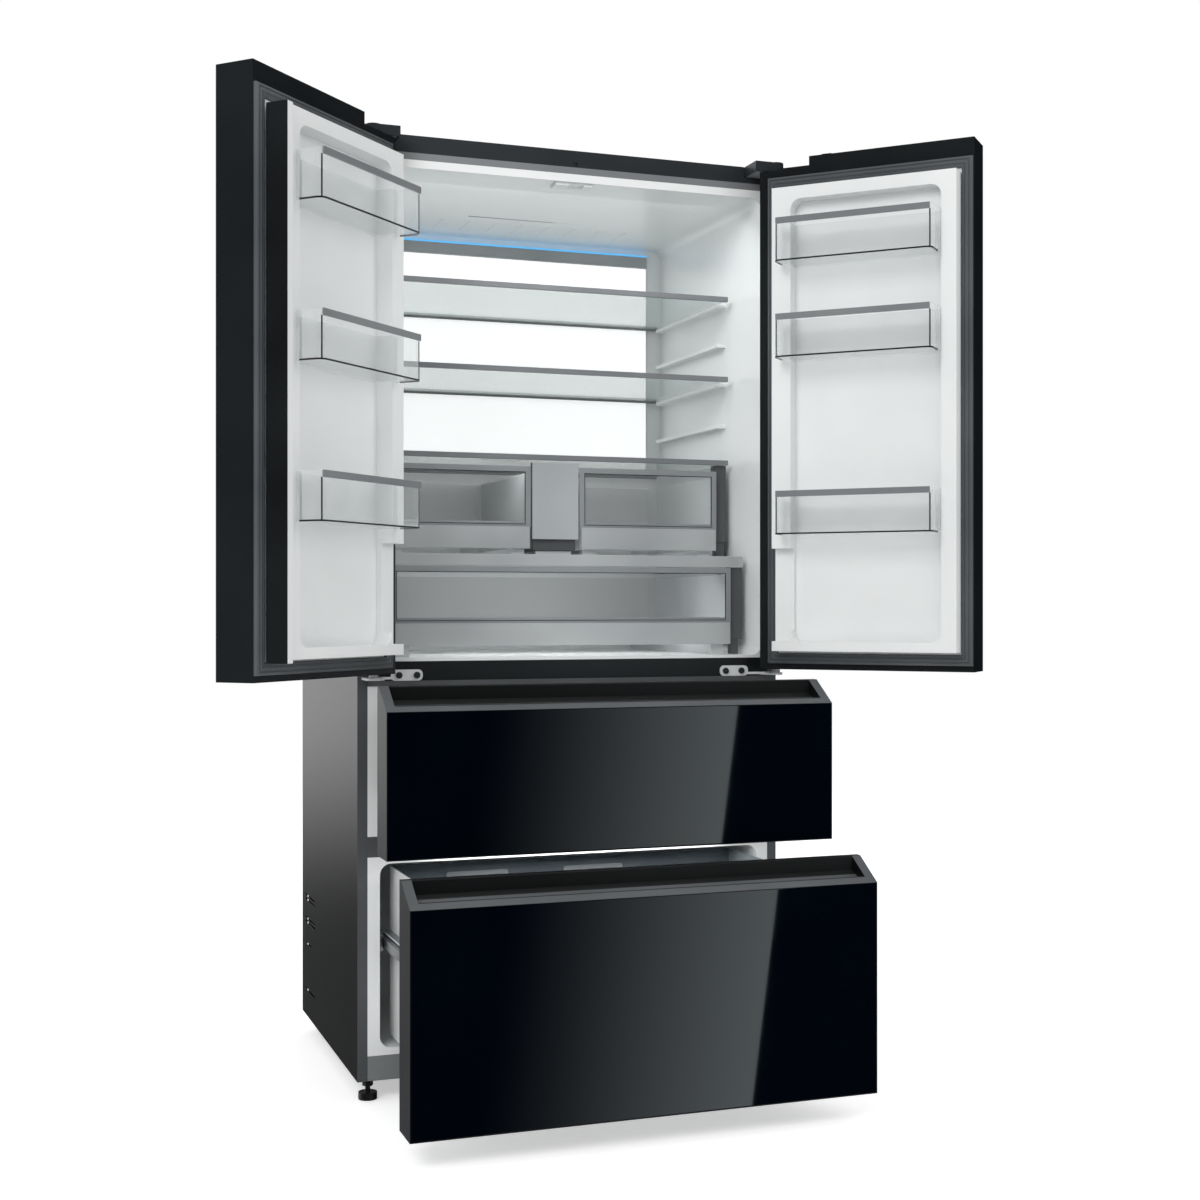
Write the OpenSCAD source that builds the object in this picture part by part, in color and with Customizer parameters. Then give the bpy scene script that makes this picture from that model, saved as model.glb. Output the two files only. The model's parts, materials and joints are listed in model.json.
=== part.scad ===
// French door refrigerator: two hinged upper doors over two pull-out freezer drawers.
// Millimetres, +Z up, origin on the floor below the middle of the refrigerator as it stands,
// with both doors swung open and both drawers part way out.
// Inside the modules y = 0 is the front face of the cabinet, and in_frame() shifts it.

/* [Cabinet] */
// Width of the cabinet
cab_w = 900; // [840:1:1080]
// Depth of the cabinet without doors
cab_d = 632; // [560:1:760]
// Height of the cabinet's top above the floor
cab_top = 1898; // [1700:1:2280]
// Height of the cabinet's underside above the floor
cab_bottom = 39; // [34:1:48]
// Thickness of the outer steel sheet
sheet_t = 0.8; // [0.6:0.1:1.5]
// Width of the dark frame strip beside each opening
strip_w = 20; // [16:1:24]
// Thickness of the white liner sheets
liner_t = 2; // [1.5:0.5:3]
// Height of the front trim above the upper opening
head_h = 46; // [40:1:60]
// Height of the dark top panel
top_panel_h = 34; // [28:1:38]
// Depth of the top panel and of the hinge covers over the cabinet
top_panel_d = 90; // [70:1:120]
// Height of the kick panel
kick_h = 49; // [40:1:60]
// Height of the lower freezer opening
lower_open_h = 389; // [330:1:460]
// Height of the bar between the freezer drawers
divider_h = 40; // [30:1:50]
// Height of the upper freezer opening
upper_open_h = 295; // [250:1:350]
// Height of the beam between the freezer and the refrigerator
beam_h = 48; // [40:1:60]
// Depth of the beam and of the divider bar
rail_d = 16; // [12:1:24]

/* [Compartments] */
// Gap from the frame strip's inner edge to the refrigerator's side wall
fridge_inset = 15; // [10:1:22]
// Gap from the frame strip's inner edge to the freezer's side wall
freezer_inset = 25; // [20:1:30]
// Width of the white flange above and below each compartment
flange_w = 14; // [10:1:18]
// Height of the white sill below the refrigerator's floor
sill_h = 6; // [5:1:10]
// Thickness of the wall behind the refrigerator
rear_wall = 57; // [45:1:70]
// Thickness of the wall behind the upper freezer
freezer_rear_wall = 72; // [60:1:90]
// Depth of the machine compartment
machine_d = 167; // [150:1:190]
// Height of the machine compartment
machine_h = 290; // [270:1:320]
// Wall between the machine compartment and the lower freezer
machine_wall = 25; // [20:1:35]
// Radius of the compartments' corners
cavity_r = 22; // [12:1:30]

/* [Doors] */
// Gap between the two closed doors
door_gap = 4; // [3:1:6]
// Thickness of each door
door_t = 80; // [70:1:90]
// Space between a closed door and the cabinet
seal_gap = 10; // [9:1:12]
// Space between the beam and the doors' lower edge
door_clear = 22; // [18:1:26]
// Distance of the hinge axis from the cabinet's side
hinge_in = 22; // [20:1:26]
// Distance of the hinge axis in front of the cabinet
hinge_out = 46; // [44:1:50]
// Angle at which the doors stand open
door_open = 135; // [90:1:135]
// Radius of the hinge pins
pin_r = 5; // [4:0.5:6]
// Running clearance around the hinge pins
pin_clear = 0.05; // [0.02:0.01:0.1]
// Thickness of the glass fronts
glass_t = 4; // [3:0.5:6]
// Height of the door's liner rim over its inner plane
rim_n = 45; // [38:1:50]
// Width of the magnetic gaskets
gasket_w = 22; // [18:1:24]
// Height of a door bin
bin_h = 87; // [70:1:100]
// How far the bins reach from the door's inner plane
bin_reach = 100; // [90:1:110]
// Height of the lowest bins above the door's lower edge
low_bin_up = 276; // [250:1:320]
// Drop of the highest bins below the door's top edge
high_bin_drop = 231; // [200:1:260]

/* [Drawers] */
// How far the upper drawer stands open
upper_out = 170; // [0:1:250]
// How far the lower drawer stands open
lower_out = 353; // [0:1:380]
// Thickness of the drawer fronts
front_t = 80; // [70:1:90]
// Rise of the slanted grip above the glass of the upper drawer
grip_rise = 44; // [36:1:50]
// Flat land behind the slanted grip
grip_land = 13; // [8:1:18]
// Thickness of the basket walls
basket_t = 3; // [2:0.5:4]
// Height of the telescopic rails
slide_h = 26; // [20:1:34]

/* [Shelves and crispers] */
// Distance of the shelves' front edge from the cabinet's front
shelf_y = 136; // [125:1:160]
// Distance of the bottom crisper's front from the cabinet's front
bottom_crisper_y = 58; // [55:1:80]
// Height of the deck over the bottom crisper, from the opening's lower edge
deck_up = 216; // [190:1:240]
// Height of the glass cover over the upper crispers, from the opening's lower edge
cover_up = 429; // [400:1:470]
// Thickness of the shelf glass
shelf_t = 4; // [3:0.5:6]
// Width of the water tank between the upper crispers
tank_w = 103; // [90:1:130]
// Wall thickness of crispers, tank and bins
clear_t = 2.5; // [2:0.5:3.5]

/* [Hidden] */
$fn = 48;

// Clearances: between pieces that slide, and between pieces that only sit side by side
slip = 0.5;
loose = 1;
// How far a cut runs past the face it opens
past = 1;

// Heights of the front, from the floor up
lower_z0 = cab_bottom + kick_h;
lower_z1 = lower_z0 + lower_open_h;
upper_z0 = lower_z1 + divider_h;
upper_z1 = upper_z0 + upper_open_h;
fridge_z0 = upper_z1 + beam_h;
fridge_z1 = cab_top - head_h;
strip_z1 = cab_top - top_panel_h;
hinge_z = cab_top - 21;

// Compartments
half_w = cab_w / 2;
open_x = half_w - strip_w;
fridge_x = open_x - fridge_inset;
freezer_x = open_x - freezer_inset;
ceiling_z = fridge_z1 - 18;
floor_z = fridge_z0 + sill_h;
floor_runner_h = 21.5;
fridge_y1 = cab_d - rear_wall;
freezer_y1 = cab_d - freezer_rear_wall;
machine_y0 = cab_d - machine_d;
machine_z1 = cab_bottom + machine_h;
lower_y1 = machine_y0 - machine_wall;

// Doors: s runs from the hinge edge to the free edge, n from the inner plane into the cabinet
door_w = half_w - door_gap / 2;
door_z0 = fridge_z0 - door_clear;
door_z1 = cab_top - 2;
cap_top = 44;
cap_bottom = 22;
wall_s = 3;
face_n = 2;
recess_s = 107;
recess_d = 22;
lip_t = 12;
corner_r = 4;
pin_s = hinge_in;
pin_n = seal_gap - hinge_out;
gasket_t = seal_gap - 0.5;
gasket_z0 = door_z0 + 12;
gasket_z1 = door_z1 - 38;
gasket_s0 = 19;
gasket_s1 = door_w - 2;
liner_z0 = gasket_z0 + gasket_w + 1;
liner_z1 = gasket_z1 - gasket_w - 1;
rim_z0 = liner_z0 + 4;
rim_z1 = liner_z1 - 9;
liner_s0 = gasket_s0 + gasket_w + 1;
liner_s1_right = gasket_s1 - gasket_w - 1;
rim_w = 36;
dish_n = 10;
step_z = fridge_z0 + deck_up + 11;
step_n = 22;

// Flap on the left door that closes the gap between the doors
flap_w = 44;
flap_t = 18;
flap_z0 = liner_z0 - 2;
flap_z1 = door_z1 - 70;
flap_s = gasket_s1 - gasket_w + 1;
flap_n = seal_gap;
flap_skin = 1.5;
liner_s1_left = flap_s - flap_t - slip;

// Bins
low_bin_z = door_z0 + low_bin_up;
high_bin_z = door_z1 - high_bin_drop;
left_bin_zs = [low_bin_z, (low_bin_z + high_bin_z) / 2, high_bin_z];
right_share = 0.648;
right_bin_zs = [low_bin_z, low_bin_z + right_share * (high_bin_z - low_bin_z), high_bin_z];
bin_s0 = 65;
bin_s1 = door_w - 60;

// Drawer fronts
front_x = half_w - 1;
front_back = -seal_gap;
front_face = front_back - front_t;
upper_front_z0 = upper_z0 - 10;
upper_front_z1 = upper_z1 + 9;
lower_front_z0 = lower_z0 - 36;
lower_front_z1 = lower_z1 + 14;
lower_grip_rise = grip_rise - 2;
grip_side = 18;
grip_bar = 16;
grip_deep = 26;
// Skin round the foam-filled core of a drawer front, which is left hollow
skin_t = 5;

// Rails: channel, middle member and slide lie side by side
channel_t = 9.5;
member_t = 8;
channel_x = freezer_x - channel_t;
middle_x = channel_x - slip - member_t;
slide_x = middle_x - slip - member_t;
upper_slide_z = upper_z0 + 96;
lower_slide_z = lower_z0 + 204;
rail_y0 = 16;
upper_rail_len = freezer_y1 - 60 - rail_y0;
lower_rail_len = lower_y1 - 6 - rail_y0;
basket_x = slide_x - 8;
basket_y0 = front_back + slip;
seal_ring = 20;

// Shelves
cover_z = fridge_z0 + cover_up;
shelf_pitch = (ceiling_z - cover_z) / 3;
middle_shelf_z = cover_z + shelf_pitch + 2;
upper_shelf_z = cover_z + 2 * shelf_pitch - 4;
shelf_x = fridge_x - 15;
shelf_y1 = fridge_y1 - 10;
trim_h = 11;
glass_drop = 8;
rib_h = 8;
deck_z = fridge_z0 + deck_up;
runner_h = 13.5;
post_w = 27;
crisper_x = shelf_x - post_w - loose;
deck_front_h = 24;
deck_t = 4;
side_t = 4;
panel_x = fridge_x - 41;

// Stand of the whole: the origin lies under the middle of the open refrigerator
front_y = -(cab_d + front_face - lower_out) / 2;

module in_frame() {
    translate([0, front_y, 0]) children();
}

module both_sides() {
    children();
    mirror([1, 0, 0]) children();
}

// Box between two corners
module block(x0, x1, y0, y1, z0, z1) {
    translate([x0, y0, z0]) cube([x1 - x0, y1 - y0, z1 - z0]);
}

module rounded_square(x0, x1, z0, z1, r) {
    translate([x0 + r, z0]) square([x1 - x0 - 2 * r, z1 - z0]);
    translate([x0, z0 + r]) square([x1 - x0, z1 - z0 - 2 * r]);
    for (x = [x0 + r, x1 - r], z = [z0 + r, z1 - r]) {
        translate([x, z]) circle(r);
    }
}

// Box with its four edges along y rounded
module rounded_block(x0, x1, y0, y1, z0, z1, r) {
    translate([0, y1, 0]) rotate([90, 0, 0]) linear_extrude(y1 - y0)
        rounded_square(x0, x1, z0, z1, r);
}

// Square-cornered frame in the x-z plane
module ring_block(x0, x1, y0, y1, z0, z1, w) {
    difference() {
        block(x0, x1, y0, y1, z0, z1);
        block(x0 + w, x1 - w, y0 - past, y1 + past, z0 + w, z1 - w);
    }
}

// Rod along x
module rod_x(x0, x1, y, z, r) {
    translate([x0, y, z]) rotate([0, 90, 0]) cylinder(r = r, h = x1 - x0);
}

// Rod along y
module rod_y(x, y0, y1, z, r) {
    translate([x, y1, z]) rotate([90, 0, 0]) cylinder(r = r, h = y1 - y0);
}

// ---- Cabinet ----

// Height and length of each louvre in the cabinet's sides
louvre_rows = [[310, 121], [301, 121], [259, 121], [250, 121], [202, 73], [98, 121]];
louvre_h = 5;
louvre_back = 39;
roller_y = cab_d - 72;
roller_r = 18;
axle_r = 4;
ear_t = 3;
ear_xs = [half_w - 65, half_w - 37];

module shell_ears() {
    both_sides() for (x = ear_xs) {
        difference() {
            block(x, x + ear_t, roller_y - 12, roller_y + 12, roller_r - 8, cab_bottom);
            rod_x(x - past, x + ear_t + past, roller_y, roller_r, axle_r + pin_clear);
        }
    }
}

module cabinet_shell() {
    color("#3a3e41") in_frame() {
        difference() {
            block(-half_w, half_w, 0, cab_d, cab_bottom, cab_top);
            block(-half_w + sheet_t, half_w - sheet_t, sheet_t, cab_d - sheet_t,
                cab_bottom + sheet_t, cab_top - sheet_t);
            block(-open_x, open_x, -past, 2 * sheet_t, cab_bottom - past, cab_top + past);
            block(-half_w + sheet_t, half_w - sheet_t, -past, top_panel_d,
                strip_z1, cab_top + past);
            block(-half_w + 12, half_w - 12, cab_d - 2 * sheet_t, cab_d + past,
                cab_bottom + 9, machine_z1 - 8);
            both_sides() for (row = louvre_rows) {
                block(half_w - 2 * sheet_t, half_w + past, cab_d - louvre_back - row[1],
                    cab_d - louvre_back, row[0], row[0] + louvre_h);
            }
        }
        shell_ears();
    }
}

module fridge_hollow(grow, y0) {
    rounded_block(-fridge_x - grow, fridge_x + grow, y0, fridge_y1 + grow,
        floor_z - grow, ceiling_z + grow, cavity_r + grow);
}

module lower_hollow(grow, y0) {
    rounded_block(-freezer_x - grow, freezer_x + grow, y0, lower_y1 + grow,
        lower_z0 + flange_w - grow, lower_z1 - flange_w + grow, cavity_r + grow);
}

module upper_hollow(grow, y0) {
    rounded_block(-freezer_x - grow, freezer_x + grow, y0, freezer_y1 + grow,
        upper_z0 + flange_w - grow, upper_z1 - flange_w + grow, cavity_r + grow);
}

module cabinet_foam() {
    color("#e8d9a0") in_frame() difference() {
        block(-half_w + sheet_t, half_w - sheet_t, sheet_t, cab_d - sheet_t,
            cab_bottom + sheet_t, cab_top - sheet_t);
        block(-open_x, open_x, 0, rail_d, cab_bottom, strip_z1);
        block(-half_w, half_w, 0, top_panel_d, strip_z1, cab_top);
        block(-half_w, half_w, machine_y0, cab_d, cab_bottom, machine_z1);
        fridge_hollow(liner_t, 0);
        lower_hollow(liner_t, 0);
        upper_hollow(liner_t, 0);
    }
}

rib_zs = [upper_shelf_z, (upper_shelf_z + middle_shelf_z) / 2, middle_shelf_z,
    (middle_shelf_z + cover_z) / 2];

module fridge_liner() {
    color("#eef0f0") in_frame() {
        difference() {
            union() {
                fridge_hollow(liner_t, 0);
                block(-open_x, open_x, 0, rail_d, fridge_z0, fridge_z1);
            }
            fridge_hollow(0, -past);
        }
        both_sides() for (z = rib_zs) {
            block(shelf_x - 6, fridge_x, shelf_y + 48, fridge_y1 - 20,
                z - glass_drop - slip - rib_h, z - glass_drop - slip);
        }
    }
}

module freezer_liner() {
    color("#eef0f0") in_frame() {
        difference() {
            union() {
                upper_hollow(liner_t, 0);
                block(-open_x, open_x, 0, rail_d, upper_z0, upper_z1);
            }
            upper_hollow(0, -past);
        }
        difference() {
            union() {
                lower_hollow(liner_t, 0);
                block(-open_x, open_x, 0, rail_d, lower_z0, lower_z1);
            }
            lower_hollow(0, -past);
        }
    }
}

cover_x0 = half_w - 73;
cover_neck = half_w - 17;
cover_screw_xs = [cover_x0 + 16, half_w - 34];
cover_screw_y = 40;
cover_screw_r = 3;
boss_r = 16;

module top_panel() {
    color("#1e2225") in_frame() {
        difference() {
            block(-half_w + sheet_t, half_w - sheet_t, 0, top_panel_d, strip_z1, hinge_z);
            rod_y(0, -past, 3, (strip_z1 + hinge_z) / 2, 5);
            both_sides() for (x = cover_screw_xs) {
                translate([x, cover_screw_y, hinge_z - 10]) cylinder(r = cover_screw_r, h = 10 + past);
            }
        }
        block(-cover_x0 + loose, cover_x0 - loose, 0, top_panel_d, hinge_z, cab_top);
        block(-open_x, open_x, 0, rail_d, fridge_z1, strip_z1);
    }
}

module cover_outline(inset) {
    translate([cover_x0 + inset, 8])
        square([half_w - cover_x0 - sheet_t - 2 * inset, top_panel_d - 8 - inset]);
    translate([cover_x0 + inset, -hinge_out - 12 + inset])
        square([cover_neck - cover_x0 - 2 * inset, hinge_out + 20]);
    translate([half_w - hinge_in, -hinge_out]) circle(boss_r - inset);
}

module hinge_covers() {
    color("#1e2225") in_frame() both_sides() difference() {
        translate([0, 0, hinge_z]) linear_extrude(cab_top - hinge_z) cover_outline(0);
        translate([0, 0, hinge_z - past]) linear_extrude(cab_top - hinge_z - 2 + past)
            cover_outline(2.5);
    }
}

upper_pin_z0 = door_z1 - 38;
plate_t = 4;

module upper_hinges() {
    color("#c9cccd") in_frame() both_sides() {
        difference() {
            union() {
                block(cover_x0 + 6, half_w - 24, -hinge_out, 64, hinge_z, hinge_z + plate_t);
                translate([half_w - hinge_in, -hinge_out, hinge_z]) cylinder(r = 11, h = plate_t);
            }
            for (x = cover_screw_xs) {
                translate([x, cover_screw_y, hinge_z - past])
                    cylinder(r = cover_screw_r + 0.2, h = plate_t + 2 * past);
            }
        }
        translate([half_w - hinge_in, -hinge_out, upper_pin_z0])
            cylinder(r = pin_r, h = hinge_z - upper_pin_z0);
    }
}

bracket_x0 = half_w - 130;
bracket_x1 = half_w - 66;
bracket_z0 = fridge_z0 - 38;
bracket_z1 = fridge_z0 - 16;
arm_z0 = fridge_z0 - 35;
arm_t = 5;
bracket_t = 3;
bolt_xs = [half_w - 118, half_w - 82];
bolt_z = (bracket_z0 + bracket_z1) / 2;
bolt_r = 4;
washer_r = 9;

module lower_hinges() {
    color("#d8dada") in_frame() both_sides() {
        difference() {
            union() {
                rounded_block(bracket_x0, bracket_x1, -bracket_t, 0, bracket_z0, bracket_z1, 9);
                block(bracket_x1 - 12, half_w - 8, -bracket_t, 0, arm_z0, arm_z0 + arm_t);
            }
            for (x = bolt_xs) {
                rod_y(x, -bracket_t - past, past, bolt_z, bolt_r + 0.2);
            }
        }
        block(half_w - 44, half_w - 8, -hinge_out, -bracket_t, arm_z0, arm_z0 + arm_t);
        translate([half_w - hinge_in, -hinge_out, arm_z0]) cylinder(r = 14, h = arm_t);
        translate([half_w - hinge_in, -hinge_out, arm_z0 + arm_t])
            cylinder(r = washer_r, h = door_z0 - arm_z0 - arm_t - 0.1);
        translate([half_w - hinge_in, -hinge_out, door_z0 - 0.1])
            cylinder(r = pin_r, h = 14);
    }
}

module hinge_screws() {
    color("#b9bcbe") in_frame() both_sides() {
        for (x = bolt_xs) {
            rod_y(x, -bracket_t - 4, -bracket_t, bolt_z, 6.5);
            rod_y(x, -bracket_t, 10, bolt_z, bolt_r);
        }
        for (x = cover_screw_xs) {
            translate([x, cover_screw_y, hinge_z - 10]) cylinder(r = cover_screw_r, h = plate_t + 10);
            translate([x, cover_screw_y, hinge_z + plate_t]) cylinder(r = 6, h = 4);
        }
    }
}

lip_h = bracket_z0 - upper_z1;

module front_rails() {
    color("#24282b") in_frame() {
        difference() {
            union() {
                block(-open_x, open_x, 0, rail_d, upper_z1, fridge_z0);
                block(-open_x, open_x, -4, 0, upper_z1, upper_z1 + lip_h);
            }
            both_sides() for (x = bolt_xs) {
                rod_y(x, -past, 10, bolt_z, bolt_r);
                rod_y(x, -5, 0, bolt_z, 7);
            }
        }
        block(-open_x, open_x, 0, rail_d, lower_z1, upper_z0);
    }
}

module kick_panel() {
    color("#95989a") in_frame()
        block(-open_x, open_x, 0, 12, cab_bottom + sheet_t, lower_z0);
}

foot_r = 18.5;
foot_y = 22;

module front_feet() {
    color("#1b1d1f") in_frame() both_sides() {
        translate([half_w - 25, foot_y, 0]) cylinder(r = foot_r, h = 14);
        translate([half_w - 25, foot_y, 14]) cylinder(r = 5, h = cab_bottom - 14);
        translate([half_w - 25, foot_y, 26]) cylinder(r = 11, h = 7, $fn = 6);
    }
}

// ---- Inside of the refrigerator ----

header_z0 = ceiling_z - 45;
header_z1 = ceiling_z - 18;
header_t = 12;
panel_t = 6;

module duct_panel() {
    color("#f6f7f7") in_frame() {
        block(-panel_x, panel_x, fridge_y1 - panel_t, fridge_y1, cover_z, header_z0);
        difference() {
            rounded_block(-freezer_x + slip, freezer_x - slip, freezer_y1 - 48, freezer_y1 - 44,
                upper_z0 + flange_w + slip, upper_z1 - flange_w - slip, cavity_r);
            rod_y(0, freezer_y1 - 50, freezer_y1 - 40, evap_fan_z, 44);
            for (x = [-300:60:300]) {
                if (abs(x) > 70) {
                    block(x - 20, x + 20, freezer_y1 - 50, freezer_y1 - 40,
                        upper_z1 - 60, upper_z1 - 52);
                }
            }
        }
        both_sides() block(freezer_x - 9, freezer_x - 5, freezer_y1 - 44, freezer_y1,
            upper_z0 + flange_w + cavity_r, upper_z1 - flange_w - cavity_r);
    }
}

module duct_header() {
    color("#b4b8ba") in_frame()
        block(-panel_x, panel_x, fridge_y1 - header_t, fridge_y1, header_z0, header_z1);
}

module light_strip() {
    color("#8fd0f5") in_frame()
        block(-panel_x, panel_x, fridge_y1 - header_t, fridge_y1, header_z1, header_z1 + 4);
}

module mullion_guide() {
    color("#e6e8e8") in_frame() difference() {
        block(-40, 40, 8, 44, ceiling_z - 6, ceiling_z);
        block(-12, 20, 0, 28, ceiling_z - 6 - past, ceiling_z - 3);
    }
}

shelf_zs = [cover_z, middle_shelf_z, upper_shelf_z];

module shelf_glasses() {
    color("#cfe3e2", 0.5) in_frame() for (z = shelf_zs) {
        block(-shelf_x, shelf_x, shelf_y + 4, shelf_y1 - 4,
            z - glass_drop, z - glass_drop + shelf_t);
    }
}

module shelf_trims() {
    color("#8c8f92") in_frame() for (z = shelf_zs) {
        difference() {
            block(-shelf_x, shelf_x, shelf_y, shelf_y + 10, z - trim_h, z);
            block(-shelf_x - past, shelf_x + past, shelf_y + 4, shelf_y + 10 + past,
                z - glass_drop, z - glass_drop + shelf_t);
        }
        difference() {
            block(-shelf_x, shelf_x, shelf_y1 - 8, shelf_y1, z - trim_h, z);
            block(-shelf_x - past, shelf_x + past, shelf_y1 - 8 - past, shelf_y1 - 4,
                z - glass_drop, z - glass_drop + shelf_t);
        }
    }
}

tank_x = tank_w / 2;
mid_x0 = tank_x + 2;
mid_z0 = deck_z + runner_h + slip;

module crisper_frame() {
    color("#55585a") in_frame() {
        block(-shelf_x, shelf_x, bottom_crisper_y, bottom_crisper_y + 6,
            deck_z - deck_front_h, deck_z);
        block(-shelf_x, shelf_x, bottom_crisper_y + 6, shelf_y1, deck_z - deck_t, deck_z);
        both_sides() {
            block(crisper_x + loose, shelf_x, bottom_crisper_y + 6, bottom_crisper_y + 30,
                floor_z + floor_runner_h + 12, deck_z - deck_t);
            block(crisper_x + loose + 3, fridge_x - cavity_r, bottom_crisper_y + 9,
                bottom_crisper_y + 27, floor_z, floor_z + floor_runner_h + 12);
            block(shelf_x - side_t, shelf_x, bottom_crisper_y + 30, shelf_y1,
                floor_z + cavity_r, deck_z - deck_t);
            block(crisper_x + loose, shelf_x, shelf_y + 12, shelf_y + 36,
                deck_z + runner_h + 20, cover_z - trim_h);
            block(crisper_x + loose + 3, shelf_x - 3, shelf_y + 15, shelf_y + 33,
                deck_z, deck_z + runner_h + 20);
            block(shelf_x - side_t, shelf_x, shelf_y + 36, shelf_y1 - 9,
                deck_z, cover_z - glass_drop - slip);
            for (x = [mid_x0 + 12, crisper_x - 42]) {
                block(x, x + 30, shelf_y + 8, shelf_y1 - 10, deck_z, deck_z + runner_h);
            }
            block(crisper_x - 42, crisper_x - 12, bottom_crisper_y + 12, shelf_y1 - 10,
                floor_z, floor_z + floor_runner_h);
        }
        block(-tank_x + 12, tank_x - 12, shelf_y + 12, shelf_y1 - 10, deck_z, deck_z + runner_h - 3);
    }
}

crisper_face = 4;
crisper_back = shelf_y1 - 16;
mid_top = cover_z - trim_h - 6;
trim_low = 46;

// Clear drawer with a deeper front plate
module crisper_box(x0, x1, y0, z0, z1, front_z1) {
    difference() {
        block(x0 + 2, x1 - 2, y0 + crisper_face, crisper_back, z0, z1);
        block(x0 + 2 + clear_t, x1 - 2 - clear_t, y0 + 2 * crisper_face, crisper_back - clear_t,
            z0 + clear_t, z1 + past);
    }
    block(x0, x1, y0, y0 + crisper_face, z0, front_z1);
    block(x0 + 4, x1 - 4, y0 - 6, y0, z0, z0 + trim_low);
}

module right_crisper() {
    color("#dfe5e7", 0.6) in_frame()
        crisper_box(mid_x0, crisper_x, shelf_y, mid_z0, mid_top - 20, mid_top - 8);
}

module left_crisper() {
    mirror([1, 0, 0]) right_crisper();
}

module bottom_crisper() {
    color("#dfe5e7", 0.6) in_frame()
        crisper_box(-crisper_x, crisper_x, bottom_crisper_y + 1, floor_z + floor_runner_h + slip,
            deck_z - deck_front_h - 16, deck_z - deck_front_h - slip);
}

module water_tank() {
    color("#9fa3a5") in_frame() difference() {
        union() {
            block(-tank_x, tank_x, shelf_y - 4, shelf_y + 10, mid_z0 + 20, mid_top);
            block(-tank_x + 4, tank_x - 4, shelf_y + 6, crisper_back, mid_z0 - 3, mid_top - 20);
        }
        block(-tank_x + 4 + clear_t, tank_x - 4 - clear_t, shelf_y + 12, crisper_back - clear_t,
            mid_z0 + clear_t, mid_top - 20 + past);
    }
}

// ---- Machine compartment ----

comp_x = half_w - 180;
comp_y = machine_y0 + 84;
comp_r = 72;
comp_top = cab_bottom + 205;

module compressor() {
    color("#1c1c1e") in_frame() {
        translate([comp_x, comp_y, cab_bottom + 26]) cylinder(r = comp_r, h = 120);
        translate([comp_x, comp_y, cab_bottom + 146]) cylinder(r1 = comp_r, r2 = 46, h = 40, $fn = 64);
        translate([comp_x, comp_y, cab_bottom + 186]) cylinder(r = 46, h = comp_top - cab_bottom - 186);
        block(comp_x - 100, comp_x + 100, comp_y - 60, comp_y + 60, cab_bottom + 20, cab_bottom + 26);
        for (x = [comp_x - 86, comp_x + 86], y = [comp_y - 46, comp_y + 46]) {
            translate([x, y, cab_bottom + sheet_t]) cylinder(r = 11, h = 20 - sheet_t);
        }
    }
}

module drain_pan() {
    color("#2a2c2e") in_frame() difference() {
        block(comp_x - 110, comp_x + 110, machine_y0 + 14, cab_d - 16, comp_top, comp_top + 32);
        block(comp_x - 107, comp_x + 107, machine_y0 + 17, cab_d - 19, comp_top + 3, comp_top + 40);
    }
}

cond_x0 = -half_w + 40;
fan_x = cond_x0 + 180;
fan_y = machine_y0 + 84;
fan_z = cab_bottom + 90;
fan_r = 68;

// Motor with its shaft, which a fan's hub runs on
module condenser() {
    color("#2b2d2f") in_frame() {
        for (i = [0:11]) {
            block(cond_x0 + i * 10, cond_x0 + i * 10 + 1.5, machine_y0 + 16, cab_d - 20,
                cab_bottom + 12, cab_bottom + 172);
        }
        for (y = [machine_y0 + 34, machine_y0 + 84, machine_y0 + 128], z = [40, 88, 136]) {
            rod_x(cond_x0 - 8, cond_x0 + 120, y, cab_bottom + z, 4);
        }
        for (x = [cond_x0 - 8, cond_x0 + 117]) {
            block(x, x + 3, machine_y0 + 12, cab_d - 16, cab_bottom + sheet_t, cab_bottom + 176);
        }
        rod_x(fan_x, fan_x + 30, fan_y, fan_z, 20);
        rod_x(fan_x - 22, fan_x, fan_y, fan_z, 3);
        block(fan_x + 8, fan_x + 22, fan_y - 15, fan_y + 15, cab_bottom + sheet_t, fan_z - 12);
    }
}

// Hub with a bore along z and five blades
module fan(r, hub_r, bore_r, h) {
    difference() {
        union() {
            cylinder(r = hub_r, h = h);
            for (a = [0:72:288]) {
                rotate([0, 0, a]) translate([hub_r - 2, 0, h / 2]) rotate([32, 0, 0])
                    translate([0, -r * 0.24, -1]) cube([r - hub_r, r * 0.48, 2]);
            }
        }
        translate([0, 0, -30]) cylinder(r = bore_r, h = 60);
    }
}

module condenser_fan() {
    color("#3a3c3e") in_frame() translate([fan_x - 20, fan_y, fan_z]) rotate([0, 90, 0])
        fan(fan_r, 18, 3 + pin_clear, 18);
}

evap_fan_z = upper_z1 - 70;

module evaporator() {
    color("#b9bfc2") in_frame() {
        for (x = [-300:25:300]) {
            block(x, x + 1.5, freezer_y1 - 40, freezer_y1 - 6, upper_z0 + 30, upper_z0 + 160);
        }
        for (y = [freezer_y1 - 31, freezer_y1 - 15], z = [50, 95, 140]) {
            rod_x(-316, 316, y, upper_z0 + z, 4);
        }
        both_sides() block(304, 308, freezer_y1 - 40, freezer_y1, upper_z0 + flange_w,
            upper_z0 + 164);
        rod_y(0, freezer_y1 - 14, freezer_y1, evap_fan_z, 16);
        rod_y(0, freezer_y1 - 34, freezer_y1 - 14, evap_fan_z, 2.5);
    }
}

module evaporator_fan() {
    color("#e6e8e8") in_frame() translate([0, freezer_y1 - 15, evap_fan_z]) rotate([90, 0, 0])
        fan(40, 13, 2.5 + pin_clear, 16);
}

inlet_x = -half_w + 60;
inlet_z = cab_bottom + 232;
cover_t = 1.5;

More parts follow.
